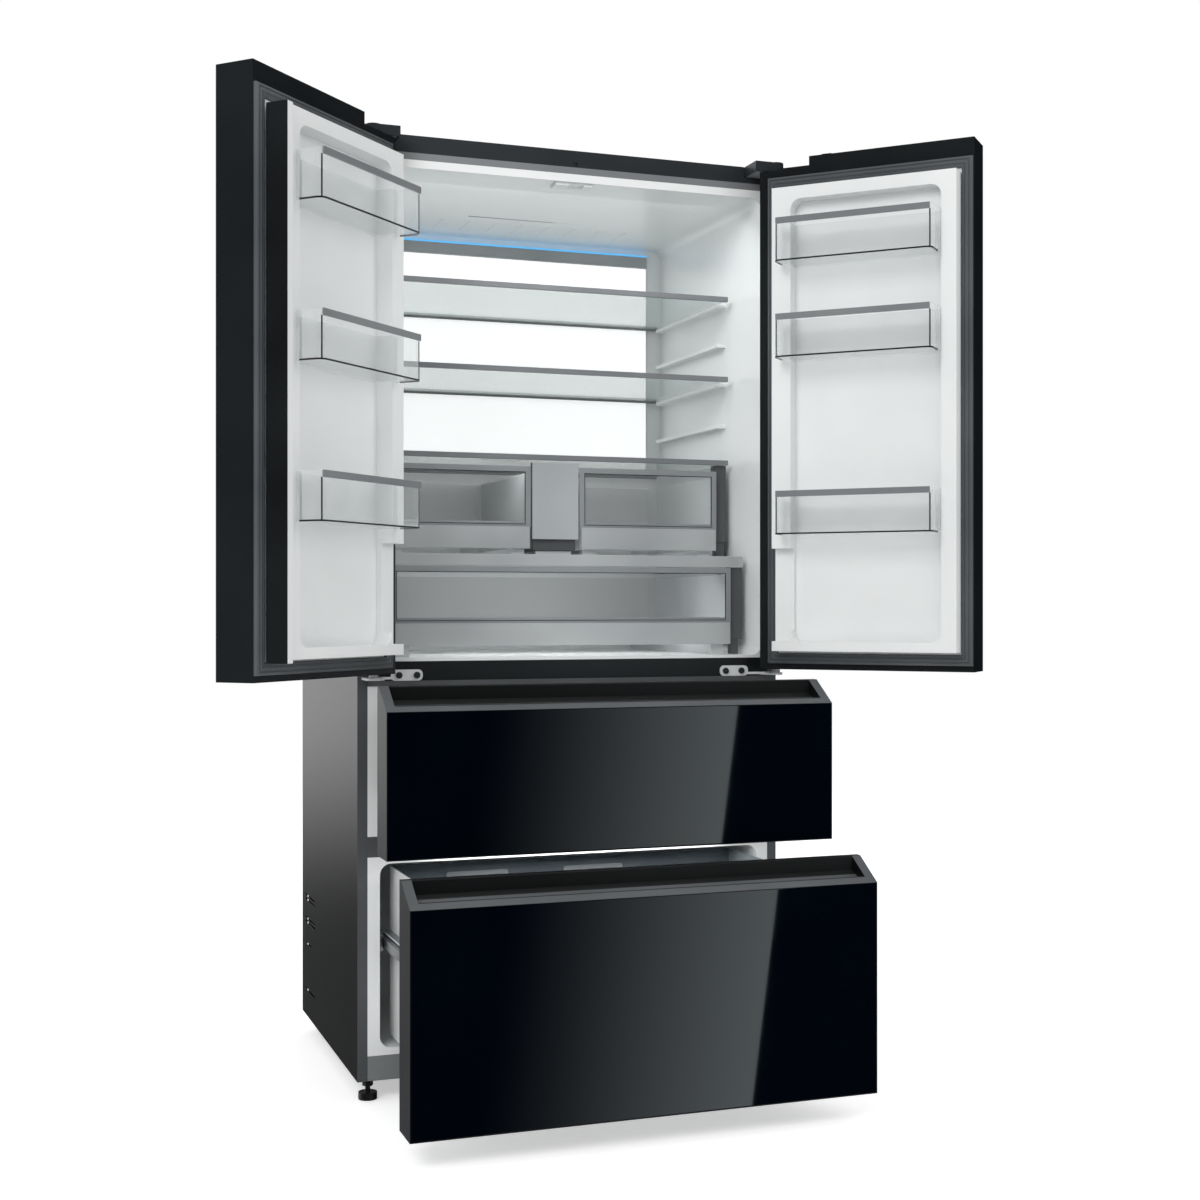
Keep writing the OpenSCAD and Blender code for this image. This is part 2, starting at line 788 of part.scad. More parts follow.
module machine_cover() {
    color("#5a5e60") in_frame() difference() {
        block(-half_w + 13, half_w - 13, cab_d - sheet_t - cover_t, cab_d - sheet_t,
            cab_bottom + 4, machine_z1 - 4);
        for (i = [0:13]) {
            block(-150 + i * 34, -132 + i * 34, cab_d - 5, cab_d + past,
                cab_bottom + 60, cab_bottom + 190);
        }
        block(inlet_x - 15, inlet_x + 15, cab_d - 5, cab_d + past, inlet_z - 11, inlet_z + 11);
    }
}

module control_board() {
    color("#2f6a3e") in_frame() {
        block(-250, -110, cab_d - 14, cab_d - 12.4, cab_bottom + 200, cab_bottom + 275);
        for (x = [-244, -116], z = [206, 269]) {
            rod_y(x, cab_d - 12.4, cab_d - sheet_t - cover_t, cab_bottom + z, 3);
        }
        block(-240, -205, cab_d - 34, cab_d - 14, cab_bottom + 214, cab_bottom + 256);
        block(-190, -160, cab_d - 26, cab_d - 14, cab_bottom + 220, cab_bottom + 260);
        rod_y(-135, cab_d - 36, cab_d - 14, cab_bottom + 232, 9);
    }
}

module power_inlet() {
    color("#1b1b1c") in_frame() difference() {
        block(inlet_x - 15 + 0.2, inlet_x + 15 - 0.2, cab_d - 30, cab_d - 1.2,
            inlet_z - 11 + 0.2, inlet_z + 11 - 0.2);
        block(inlet_x - 12, inlet_x + 12, cab_d - 20, cab_d + past, inlet_z - 8, inlet_z + 8);
    }
}

module rear_rollers() {
    color("#2b2b2c") in_frame() {
        both_sides() {
            rod_x(ear_xs[0] + ear_t + loose, ear_xs[1] - loose, roller_y, roller_r, roller_r);
            rod_x(ear_xs[1] + ear_t + slip, ear_xs[1] + ear_t + 4, roller_y, roller_r, 7);
        }
        rod_x(-ear_xs[1] - ear_t - 4, ear_xs[1] + ear_t + 4, roller_y, roller_r, axle_r);
    }
}

// ---- Doors ----

// Moves a part from the left door's own s, n and z to where the open door stands
module on_left_door() {
    in_frame() translate([-half_w + hinge_in, -hinge_out, 0]) rotate([0, 0, -door_open])
        translate([-hinge_in, hinge_out - seal_gap, 0]) children();
}

module on_right_door() {
    mirror([1, 0, 0]) on_left_door() children();
}

module door_glass() {
    color("#05080c") block(wall_s, door_w - wall_s, -door_t, -door_t + glass_t,
        door_z0 + 2, door_z1 - 2);
}

module door_outline() {
    translate([corner_r, -door_t]) square([door_w - 2 * corner_r, door_t]);
    translate([0, -door_t + corner_r]) square([door_w, door_t - corner_r]);
    for (s = [corner_r, door_w - corner_r]) {
        translate([s, -door_t + corner_r]) circle(corner_r);
    }
}

module door_frame(liner_s1) {
    color("#1e2225") {
        difference() {
            translate([0, 0, door_z0]) linear_extrude(door_z1 - door_z0) door_outline();
            block(wall_s, door_w - wall_s, -door_t - past, -door_t + glass_t,
                door_z0 + 2, door_z1 - 2);
            block(wall_s, door_w - wall_s, -door_t + glass_t - past, -face_n,
                door_z0 + cap_bottom, door_z1 - cap_top);
            block(liner_s0 - 8, liner_s1 + 8, -face_n - past, past,
                liner_z0 - 8, liner_z1 + 8);
            block(-past, recess_s, -door_t + lip_t, past, door_z1 - recess_d, door_z1 + past);
            translate([pin_s, pin_n, door_z1 - 40])
                cylinder(r = pin_r + pin_clear, h = 40);
            translate([pin_s, pin_n, door_z0 - past])
                cylinder(r = pin_r + pin_clear, h = 16 + past);
        }
        block(129, 150, -34, -14, door_z1, door_z1 + 5);
        translate([door_w - 58, -24, door_z1]) cylinder(r = 4, h = 2);
    }
}

module door_foam(liner_s1) {
    color("#e8d9a0") difference() {
        union() {
            block(wall_s, door_w - wall_s, -door_t + glass_t, -face_n,
                door_z0 + cap_bottom, door_z1 - cap_top);
            block(liner_s0 + liner_t, liner_s1 - liner_t, -face_n, rim_n - liner_t,
                rim_z0 + liner_t, rim_z1 - liner_t);
        }
        liner_dish(liner_s1, liner_t);
        step_cut(-liner_t);
    }
}

// Space that the liner's dish takes out, grown by the sheet for what lies behind it
module liner_dish(liner_s1, grow) {
    rounded_block(liner_s0 + rim_w + 4 - grow, liner_s1 - rim_w + 6 + grow, dish_n - grow, rim_n + past,
        liner_z0 + 24 - grow, liner_z1 - 35 + grow, cavity_r);
}

// Lower stretch of the hinge-side rim, shallower so that the door clears the bottom crisper
module step_cut(deeper) {
    block(liner_s0 - past, liner_s0 + rim_w + 4, step_n + deeper, rim_n + past,
        liner_z0 + 24, step_z - deeper);
}

module door_liner(liner_s1) {
    color("#eef0f0") {
        difference() {
            block(liner_s0, liner_s1, 0, rim_n, rim_z0, rim_z1);
            difference() {
                block(liner_s0 + liner_t, liner_s1 - liner_t, -past, rim_n - liner_t,
                    rim_z0 + liner_t, rim_z1 - liner_t);
                liner_dish(liner_s1, liner_t);
                step_cut(-liner_t);
            }
            liner_dish(liner_s1, 0);
            step_cut(0);
        }
        difference() {
            block(liner_s0 - 8, liner_s1 + 8, -face_n, 0, liner_z0 - 8, liner_z1 + 8);
            block(liner_s0 + liner_t, liner_s1 - liner_t, -face_n - past, past,
                rim_z0 + liner_t, rim_z1 - liner_t);
        }
    }
}

module door_gasket() {
    color("#55595c") ring_block(gasket_s0, gasket_s1, 0, gasket_t, gasket_z0, gasket_z1, gasket_w);
}

// One bin: wide tray in front of the rim, narrow back between the rims
module door_bin(z, back_s0, back_s1) {
    difference() {
        union() {
            rounded_block_z(bin_s0, bin_s1, rim_n + slip, bin_reach, z, z + bin_h, 14);
            block(back_s0, back_s1, dish_n + slip, rim_n + 16, z, z + bin_h);
        }
        rounded_block_z(bin_s0 + clear_t, bin_s1 - clear_t, rim_n + slip + clear_t,
            bin_reach - clear_t, z + clear_t, z + bin_h + past, 12);
        block(back_s0 + clear_t, back_s1 - clear_t, dish_n + slip + clear_t, rim_n + 20,
            z + clear_t, z + bin_h + past);
    }
}

// Box with its two far upright edges rounded
module rounded_block_z(s0, s1, n0, n1, z0, z1, r) {
    translate([0, 0, z0]) linear_extrude(z1 - z0) {
        translate([s0, n0]) square([s1 - s0, n1 - n0 - r]);
        translate([s0 + r, n0]) square([s1 - s0 - 2 * r, n1 - n0]);
        for (s = [s0 + r, s1 - r]) {
            translate([s, n1 - r]) circle(r);
        }
    }
}

module door_bins(zs, liner_s1) {
    color("#dfe5e7", 0.6) for (z = zs) {
        door_bin(z, liner_s0 + rim_w + 4 + slip, liner_s1 - rim_w + 6 - slip);
    }
}

module left_door_glass() { on_left_door() door_glass(); }
module left_door_frame() { on_left_door() door_frame(liner_s1_left); }
module left_door_foam() { on_left_door() door_foam(liner_s1_left); }
module left_door_liner() { on_left_door() door_liner(liner_s1_left); }
module left_door_gasket() { on_left_door() door_gasket(); }
module left_door_bins() { on_left_door() door_bins(left_bin_zs, liner_s1_left); }
module right_door_glass() { on_right_door() door_glass(); }
module right_door_frame() { on_right_door() door_frame(liner_s1_right); }
module right_door_foam() { on_right_door() door_foam(liner_s1_right); }
module right_door_liner() { on_right_door() door_liner(liner_s1_right); }
module right_door_gasket() { on_right_door() door_gasket(); }
module right_door_bins() { on_right_door() door_bins(right_bin_zs, liner_s1_right); }

module flap_body() {
    on_left_door() color("#eef0f0")
        block(flap_s - flap_t, flap_s - flap_skin, flap_n, flap_n + flap_w, flap_z0, flap_z1);
}

module flap_face() {
    on_left_door() color("#16191c")
        block(flap_s - flap_skin, flap_s, flap_n, flap_n + flap_w, flap_z0, flap_z1);
}

// ---- Drawers ----

module drawer_profile(z0, z1, rise) {
    polygon([[front_back, z0], [front_back, z1], [front_back - grip_land, z1],
        [front_face, z1 - rise], [front_face, z0]]);
}

// Extrudes a y-z outline along x, centred
module across(w) {
    rotate([90, 0, 90]) translate([0, 0, -w / 2]) linear_extrude(w) children();
}

// Trough behind the slanted face, which the hand reaches into
module grip_trough(z1, rise) {
    slope = rise / (front_t - grip_land);
    across(2 * (front_x - grip_side)) polygon([
        [front_back - grip_land - 3, z1 + past],
        [front_back - grip_land - 3, z1 - grip_deep],
        [front_face + grip_bar + 10, z1 - rise - 6],
        [front_face + grip_bar, z1 - rise + slope * grip_bar],
        [front_face + grip_bar, z1 + past]
    ]);
}

module drawer_front(z0, z1, rise) {
    color("#4a4d4f") difference() {
        across(2 * front_x) drawer_profile(z0, z1, rise);
        block(-front_x + 2, front_x - 2, front_face - past, front_face + glass_t, z0 + 2, z1 - rise - 1);
        grip_trough(z1, rise);
        block(-front_x + skin_t, front_x - skin_t, front_face + glass_t + skin_t,
            front_back - skin_t, z0 + skin_t, z1 - grip_deep - rise / 2 - skin_t);
    }
}

module drawer_glass(z0, z1, rise) {
    color("#05080c") block(-front_x + 2, front_x - 2, front_face, front_face + glass_t,
        z0 + 2, z1 - rise - 1);
}

module drawer_gasket(z0, z1) {
    color("#55595c") ring_block(-open_x, open_x, front_back, front_back + gasket_t,
        z0, z1, seal_ring);
}

// Open basket that hangs by side lips on the slides
module drawer_basket(y1, z0, z1, slide_z) {
    color("#7d8a92", 0.6) {
        difference() {
            block(-basket_x, basket_x, basket_y0, y1, z0, z1);
            block(-basket_x + basket_t, basket_x - basket_t, basket_y0 + basket_t, y1 - basket_t,
                z0 + basket_t, z1 + past);
        }
        both_sides() block(basket_x, slide_x + member_t - slip, basket_y0 + 6, y1 - 6,
            slide_z + slide_h + slip, slide_z + slide_h + slip + basket_t);
    }
}

module slides(z, length) {
    color("#c8cbcc") both_sides() block(slide_x, slide_x + member_t, front_back, length, z, z + slide_h);
}

module middle_rails(z, length) {
    color("#b4b7b9") both_sides() block(middle_x, middle_x + member_t, rail_y0 + 4,
        rail_y0 + 4 + length, z + 3, z + slide_h - 3);
}

module upper_out_by(share) {
    in_frame() translate([0, -upper_out * share, 0]) children();
}

module lower_out_by(share) {
    in_frame() translate([0, -lower_out * share, 0]) children();
}

module upper_drawer_glass() {
    upper_out_by(1) drawer_glass(upper_front_z0, upper_front_z1, grip_rise);
}
module upper_drawer_front() {
    upper_out_by(1) drawer_front(upper_front_z0, upper_front_z1, grip_rise);
}
module upper_drawer_gasket() {
    upper_out_by(1) drawer_gasket(upper_z0, upper_z1 - 4);
}
module upper_drawer_basket() {
    upper_out_by(1) drawer_basket(rail_y0 + upper_rail_len - 14, upper_z0 + seal_ring + 4,
        upper_z1 - seal_ring - 12, upper_slide_z);
}
module upper_drawer_slides() {
    upper_out_by(1) slides(upper_slide_z, upper_rail_len - 10);
}
module upper_middle_rails() {
    upper_out_by(0.5) middle_rails(upper_slide_z, upper_rail_len - 12);
}
module lower_drawer_glass() {
    lower_out_by(1) drawer_glass(lower_front_z0, lower_front_z1, lower_grip_rise);
}
module lower_drawer_front() {
    lower_out_by(1) drawer_front(lower_front_z0, lower_front_z1, lower_grip_rise);
}
module lower_drawer_gasket() {
    lower_out_by(1) drawer_gasket(lower_z0, lower_z1 - 4);
}
module lower_drawer_basket() {
    lower_out_by(1) drawer_basket(rail_y0 + lower_rail_len - 14, lower_z0 + seal_ring + 4,
        lower_z1 - seal_ring - 8, lower_slide_z);
}
module lower_drawer_slides() {
    lower_out_by(1) slides(lower_slide_z, lower_rail_len - 10);
}
module lower_middle_rails() {
    lower_out_by(0.5) middle_rails(lower_slide_z, lower_rail_len - 12);
}

module drawer_channels() {
    color("#a9acae") in_frame() both_sides() {
        block(channel_x, freezer_x, rail_y0, rail_y0 + upper_rail_len,
            upper_slide_z - 3, upper_slide_z + slide_h + 3);
        block(channel_x, freezer_x, rail_y0, rail_y0 + lower_rail_len,
            lower_slide_z - 3, lower_slide_z + slide_h + 3);
    }
}

cabinet_shell();
cabinet_foam();
fridge_liner();
freezer_liner();
top_panel();
hinge_covers();
upper_hinges();
lower_hinges();
hinge_screws();
front_rails();
kick_panel();
front_feet();
duct_panel();
duct_header();
light_strip();
mullion_guide();
shelf_glasses();
shelf_trims();
crisper_frame();
drawer_channels();
compressor();
condenser();
evaporator();
drain_pan();
machine_cover();
control_board();
power_inlet();
condenser_fan();
evaporator_fan();
rear_rollers();
left_door_glass();
left_door_frame();
left_door_foam();
left_door_liner();
left_door_gasket();
left_door_bins();
right_door_glass();
right_door_frame();
right_door_foam();
right_door_liner();
right_door_gasket();
right_door_bins();
flap_body();
flap_face();
upper_drawer_glass();
upper_drawer_front();
upper_drawer_gasket();
upper_drawer_basket();
upper_drawer_slides();
lower_drawer_glass();
lower_drawer_front();
lower_drawer_gasket();
lower_drawer_basket();
lower_drawer_slides();
upper_middle_rails();
lower_middle_rails();
left_crisper();
right_crisper();
bottom_crisper();
water_tank();
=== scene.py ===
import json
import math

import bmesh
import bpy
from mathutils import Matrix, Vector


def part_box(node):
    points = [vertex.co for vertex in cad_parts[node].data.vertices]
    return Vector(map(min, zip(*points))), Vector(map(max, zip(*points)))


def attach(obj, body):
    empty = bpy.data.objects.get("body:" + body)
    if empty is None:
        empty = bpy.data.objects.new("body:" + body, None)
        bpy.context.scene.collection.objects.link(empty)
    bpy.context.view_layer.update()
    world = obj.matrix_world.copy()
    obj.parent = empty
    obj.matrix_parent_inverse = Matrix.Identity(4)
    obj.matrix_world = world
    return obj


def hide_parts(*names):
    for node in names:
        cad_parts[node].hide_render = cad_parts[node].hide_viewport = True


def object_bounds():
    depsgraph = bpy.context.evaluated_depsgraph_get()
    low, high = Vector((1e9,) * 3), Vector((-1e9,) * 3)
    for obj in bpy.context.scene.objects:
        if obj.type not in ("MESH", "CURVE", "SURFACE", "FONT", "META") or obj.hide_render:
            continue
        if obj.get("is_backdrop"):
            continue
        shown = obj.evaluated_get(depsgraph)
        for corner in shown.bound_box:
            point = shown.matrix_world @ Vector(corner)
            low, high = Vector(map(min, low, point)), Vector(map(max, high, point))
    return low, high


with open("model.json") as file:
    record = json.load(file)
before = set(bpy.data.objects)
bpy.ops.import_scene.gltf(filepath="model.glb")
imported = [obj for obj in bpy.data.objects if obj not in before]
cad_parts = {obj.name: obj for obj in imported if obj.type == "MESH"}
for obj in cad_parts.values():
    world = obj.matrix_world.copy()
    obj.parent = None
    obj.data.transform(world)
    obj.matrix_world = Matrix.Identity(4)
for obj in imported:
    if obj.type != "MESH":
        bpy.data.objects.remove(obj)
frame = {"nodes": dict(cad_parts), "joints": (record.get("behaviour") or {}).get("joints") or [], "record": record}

# %% [markdown]
# # A French door refrigerator
# The frame brings every part of the refrigerator in at its real place and size, in metres.
# This lesson gives each part its finish, rounds its edges, and makes the small pieces that
# would be slow to draw one by one: gaskets, window frames, bin trims, grooves and slots.
# The box of the whole object is measured and printed at the end.

nodes = frame["nodes"]
body_of = {n: b for b, ns in frame["record"]["behaviour"]["bodies"].items() for n in ns}
slot_of = {s["node"]: s["material_slot"] for s in frame["record"]["subparts"]}
joint_at = {j["name"]: Vector(j["pos_m"]) for j in frame["joints"] if j.get("pos_m")}


def plain_bounds():
    lo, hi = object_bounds()
    return [list(lo), list(hi)]


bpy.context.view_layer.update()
MM = 0.001

# %% [markdown]
# ## Camera
# The refrigerator stands straight, so the camera looks level from a little below the middle of
# the doors. A level camera keeps the upright edges upright, and the small shift lifts the view.

# %% Camera
cam_data = bpy.data.cameras.new("camera")
cam_data.sensor_width = 36
cam_data.lens = 50.49
cam_data.shift_y = 0.0055
cam_data.clip_end = 100
camera = bpy.data.objects.new("camera", cam_data)
camera.location = (-1.1061, -3.3468, 0.968)
camera.rotation_euler = (math.radians(90), 0, math.radians(-19.61))
bpy.context.scene.collection.objects.link(camera)
bpy.context.scene.camera = camera
bpy.context.scene.view_settings.view_transform = "Standard"
print("camera at", tuple(camera.location))

# %% [markdown]
# ## A way to write materials
# Colours are written as sRGB hex values and turned to linear light by one function. One small
# helper adds a node with its settings and its links, so that a material reads like a recipe.

# %% Material helpers


def linear(hex_colour):
    parts = [int(hex_colour[i:i + 2], 16) / 255 for i in (1, 3, 5)]
    return [p / 12.92 if p <= 0.04045 else ((p + 0.055) / 1.055) ** 2.4 for p in parts] + [1]


def add(tree, kind, links=None, inputs=None, **settings):
    """Adds one node. inputs are socket values, links are (output socket) per input name."""
    node = tree.nodes.new(kind)
    for key, value in settings.items():
        setattr(node, key, value)
    for key, value in (inputs or {}).items():
        node.inputs[key].default_value = value
    for key, socket in (links or {}).items():
        tree.links.new(socket, node.inputs[key])
    return node


def new_material(name):
    material = bpy.data.materials.new(name)
    material.use_nodes = True
    tree = material.node_tree
    shader = tree.nodes["Principled BSDF"]
    place = add(tree, "ShaderNodeTexCoord")
    return material, tree, shader, place


def noise_at(tree, place, scale, detail=4, stretch=(1, 1, 1), rough=0.5):
    mapping = add(tree, "ShaderNodeMapping", {"Vector": place.outputs["Object"]}, {"Scale": stretch})
    return add(tree, "ShaderNodeTexNoise", {"Vector": mapping.outputs["Vector"]},
               {"Scale": scale, "Detail": detail, "Roughness": rough})


def ramp_between(tree, factor, low, high, start=0.3, end=0.7):
    ramp = add(tree, "ShaderNodeValToRGB", {"Fac": factor})
    ramp.color_ramp.elements[0].position = start
    ramp.color_ramp.elements[1].position = end
    ramp.color_ramp.elements[0].color = low
    ramp.color_ramp.elements[1].color = high
    return ramp


def finish_of(name, dark, light, rough, rough_spread=0.05, grain_mm=1.5, bump_mm=0.02,
              metallic=0.0, stretch=(1, 1, 1), cloud_m=0.25, **sockets):
    """A painted, moulded or brushed finish: slow colour clouds, a fine grain in bump and gloss."""
    material, tree, shader, place = new_material(name)
    cloud = noise_at(tree, place, 1 / cloud_m, 2)
    colour = ramp_between(tree, cloud.outputs["Fac"], linear(dark), linear(light))
    tree.links.new(colour.outputs["Color"], shader.inputs["Base Color"])
    grain = noise_at(tree, place, 1 / (grain_mm * MM), 3, stretch)
    spread = add(tree, "ShaderNodeMapRange", {"Value": grain.outputs["Fac"]},
                 {"To Min": rough - rough_spread, "To Max": rough + rough_spread})
    tree.links.new(spread.outputs["Result"], shader.inputs["Roughness"])
    if bump_mm:
        bump = add(tree, "ShaderNodeBump", {"Height": grain.outputs["Fac"]},
                   {"Strength": 0.4, "Distance": bump_mm * MM})
        tree.links.new(bump.outputs["Normal"], shader.inputs["Normal"])
    shader.inputs["Metallic"].default_value = metallic
    for key, value in sockets.items():
        shader.inputs[key.replace("_", " ")].default_value = value
    return material


print("helpers ready")

# %% [markdown]
# ## Finishes
# Powder-coated steel has a slight orange peel. The fronts are tempered glass painted black on
# the back, so they are almost a mirror for bright things and show a deep blue-black otherwise.
# The inside is white polystyrene, drawn into shape as one warm sheet, with a soft gloss.
# Bins and crispers are clear moulded polystyrene. Strips are brushed aluminium, whose lines run
# sideways: the grain is drawn about 0.4 mm wide, coarser than a real one, so that it shows.

# %% Coated steel, black plastic and glass fronts
powder_steel = finish_of("powder_coated_steel", "#0c0f11", "#101315", 0.30, 0.04, 1.6, 0.02)
door_black = finish_of("black_coated_door_shell", "#14181b", "#1b1f22", 0.42, 0.05, 1.2, 0.02)
top_black = finish_of("black_abs_top_panel", "#2a2e31", "#33373a", 0.38, 0.05, 1.0, 0.03)
front_glass = finish_of("back_painted_black_glass", "#01040a", "#02060d", 0.035, 0.01, 60, 0,
                        IOR=1.5)
grip_black = finish_of("matt_black_abs_trough", "#08090a", "#0d0f10", 0.60, 0.06, 0.8, 0.03)
grip_grey = finish_of("grey_abs_grip_frame", "#4b4e50", "#585b5e", 0.38, 0.05, 1.0, 0.02)
side_grey = finish_of("grey_coated_drawer_side", "#1d2022", "#282b2e", 0.40, 0.05, 1.2, 0.02)
strip_grey = finish_of("grey_coated_front_strip", "#494c4e", "#55585a", 0.42, 0.05, 1.2, 0.02)
print("fronts done")

# %% White, grey and rubber parts
liner_white = finish_of("white_vacuum_formed_hips", "#e9ebeb", "#f0f2f2", 0.30, 0.06, 2.5, 0.03)
# The back panel's emission is a painted glow: it keeps the panel white, and the panel is no lamp.
white_panel_painted_glow = finish_of("white_abs_back_panel_painted_glow", "#f6f7f7", "#fbfcfc", 0.28, 0.05, 2.0, 0.01,
                        Emission_Color=linear("#ffffff"), Emission_Strength=0.6)
rib_white = finish_of("white_abs_flap", "#e3e5e6", "#ecedee", 0.33, 0.05, 1.5, 0.02)
gasket_grey = finish_of("grey_tpe_gasket", "#4a4e51", "#5a5e61", 0.62, 0.08, 0.7, 0.05)
trim_grey = finish_of("grey_abs_shelf_trim", "#75787b", "#848789", 0.36, 0.05, 0.9, 0.02)
post_grey = finish_of("dark_grey_abs_post", "#4b4e50", "#595c5e", 0.42, 0.05, 0.9, 0.02)
# This black is the colour of real black mouldings, and also painted shade on the bin edges and in the vent slots.
black_trim_and_painted_shade = finish_of("black_moulding_and_painted_shade", "#141618", "#1f2224", 0.30, 0.05, 0.9, 0.01)
kick_grey = finish_of("grey_coated_kick_panel", "#787b7d", "#858889", 0.42, 0.05, 1.4, 0.02)
foam_pale = finish_of("polyurethane_foam", "#e6e6e0", "#efefea", 0.85, 0.08, 1.2, 0.4)
print("inside done")

# %% Metals
along_x = (0.012, 1, 1)
brushed_strip = finish_of("brushed_aluminium_strip", "#b8bbbd", "#d0d3d4", 0.42, 0.10, 0.4, 0.01,
                          0.35, along_x)
tank_metal = finish_of("brushed_steel_tank_front", "#bcc0c2", "#cfd3d5", 0.40, 0.10, 0.4, 0.01,
                       0.35, (1, 1, 0.012))
header_metal = finish_of("brushed_steel_header", "#a0a3a5", "#b2b5b7", 0.35, 0.08, 0.4, 0.01,
                         0.35, along_x)
frame_light = finish_of("light_grey_crisper_frame", "#c2c5c7", "#cfd2d3", 0.40, 0.05, 1.0, 0.02)
window_frame = finish_of("grey_abs_window_frame", "#85898b", "#95999b", 0.36, 0.05, 0.9, 0.02)
zinc_steel = finish_of("zinc_plated_steel", "#c2c5c8", "#d6d8da", 0.30, 0.08, 1.2, 0.01, 0.45)
bracket_steel = finish_of("bright_zinc_bracket", "#dcdedf", "#e9ebec", 0.34, 0.06, 1.2, 0.01, 0.10)
bolt_steel = finish_of("blackened_bolt_steel", "#2c2f31", "#3a3d3f", 0.32, 0.06, 0.8, 0.01, 0.4)
rail_steel = finish_of("galvanised_rail_steel", "#9b9ea1", "#b3b6b8", 0.34, 0.08, 2.0, 0.02, 1.0)
fin_aluminium = finish_of("pressed_aluminium_fins", "#a2a5a8", "#babdbf", 0.38, 0.06, 1.0, 0.02, 1.0)
compressor_enamel = finish_of("black_enamelled_compressor", "#101214", "#1c1e20", 0.33, 0.06, 3.0, 0.06)
print("metals done")

# %% Small parts
cover_zinc = finish_of("galvanised_cover_sheet", "#8a8d8f", "#a0a3a5", 0.45, 0.08, 3.0, 0.02, 1.0)
board_green = finish_of("lacquered_circuit_board", "#1c5a34", "#277044", 0.35, 0.06, 1.0, 0.05)
fan_grey = finish_of("grey_polypropylene_fan", "#3f4346", "#4c5053", 0.45, 0.06, 1.0, 0.02)
roller_grey = finish_of("black_nylon_roller", "#26282a", "#333537", 0.50, 0.06, 0.8, 0.03)
foot_black = finish_of("black_nylon_foot", "#141618", "#1e2022", 0.45, 0.06, 0.8, 0.03)
lamp_blue = finish_of("blue_led_diffuser", "#3f86b8", "#5298c8", 0.35, 0.05, 1.0, 0,
                      Emission_Color=linear("#5fb8f0"), Emission_Strength=0.8)
print("small parts done")


# %% [markdown]
# ## Clear plastic and glass
# A clear wall a few millimetres thick bends light so little that it can be drawn as a film: it
# lets light and shadow straight through, and shows more of its own colour and gloss the flatter
# one looks along it. So the insides of the bins stay bright, as they do in moulded polystyrene.

# %% Clear materials


def clear_of(name, tint, rough, facing_share, edge_share):
    """See-through straight on, and more of a mirror and a body colour towards a glancing view."""
    material, tree, shader, place = new_material(name)
    mottle = noise_at(tree, place, 1 / (40 * MM), 2)
    colour = ramp_between(tree, mottle.outputs["Fac"], linear(tint[0]), linear(tint[1]))
    tree.links.new(colour.outputs["Color"], shader.inputs["Base Color"])
    spread = add(tree, "ShaderNodeMapRange", {"Value": mottle.outputs["Fac"]},
                 {"To Min": rough * 0.6, "To Max": rough * 1.4})
    tree.links.new(spread.outputs["Result"], shader.inputs["Roughness"])
    glance = add(tree, "ShaderNodeLayerWeight", inputs={"Blend": 0.35})
    share = add(tree, "ShaderNodeMapRange", {"Value": glance.outputs["Facing"]},
                {"To Min": facing_share, "To Max": edge_share})
    tree.links.new(share.outputs["Result"], shader.inputs["Alpha"])
    return material


clear_ps = clear_of("clear_moulded_polystyrene", ("#dfe5e7", "#ebf0f1"), 0.05, 0.04, 0.40)
smoked_ps = clear_of("smoked_moulded_polystyrene", ("#667076", "#727c82"), 0.10, 0.60, 0.85)
shelf_glass = clear_of("tempered_shelf_glass", ("#cfdedb", "#dbe8e5"), 0.04, 0.12, 0.60)
print("clear materials done")

# %% [markdown]
# ## Rounded edges
# No sheet or moulding has a perfectly sharp edge: the small round is what catches the light.
# A copy of the part is merged into one surface, its flat areas are joined (not on the drawer
# fronts, where a joined face would cover the glass), and it may be cut along a plane where one
# colour ends and the next begins. A Bevel modifier rounds every edge sharper than 30 degrees.
# Weighted Normal then keeps the large faces flat in
# shading, so that a glass front mirrors straight lines as straight. The result becomes a plain
# mesh in the part's place.

# %% Softened copies


def as_piece(name, mesh, body, slot=None, replaces=(), *materials):
    piece = bpy.data.objects.new(name, mesh)
    bpy.context.scene.collection.objects.link(piece)
    for material in materials:
        mesh.materials.append(material)
    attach(piece, body)
    if replaces:
        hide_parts(*replaces)
    return piece


def merged(node, join_flats=True, cuts=()):
    """The mesh of a part with its doubled corners joined. cuts are (point, normal) planes in mm."""
    mesh = nodes[node].data.copy()
    mesh.materials.clear()
    bm = bmesh.new()
    bm.from_mesh(mesh)
    bmesh.ops.remove_doubles(bm, verts=bm.verts, dist=0.005 * MM)
    if join_flats:
        bmesh.ops.dissolve_limit(bm, angle_limit=math.radians(0.5), verts=bm.verts, edges=bm.edges)
    for point, normal in cuts:
        bmesh.ops.bisect_plane(bm, geom=bm.verts[:] + bm.edges[:] + bm.faces[:], dist=1e-6,
                               plane_co=Vector(point) * MM, plane_no=Vector(normal))
    bm.to_mesh(mesh)
    bm.free()
    mesh.polygons.foreach_set("material_index", [0] * len(mesh.polygons))
    return mesh


def bevelled(mesh, width, segments):
    holder = bpy.data.objects.new("holder", mesh)
    bpy.context.scene.collection.objects.link(holder)
    bevel = holder.modifiers.new("bevel", "BEVEL")
    bevel.width = width * MM
    bevel.segments = segments
    bevel.limit_method = "ANGLE"
    bevel.angle_limit = math.radians(30)
    mesh.polygons.foreach_set("use_smooth", [True] * len(mesh.polygons))
    even = holder.modifiers.new("even", "WEIGHTED_NORMAL")
    even.mode = "FACE_AREA"
    even.weight = 100
    bpy.context.view_layer.update()
    result = bpy.data.meshes.new_from_object(holder.evaluated_get(bpy.context.evaluated_depsgraph_get()))
    bpy.data.objects.remove(holder)
    return result


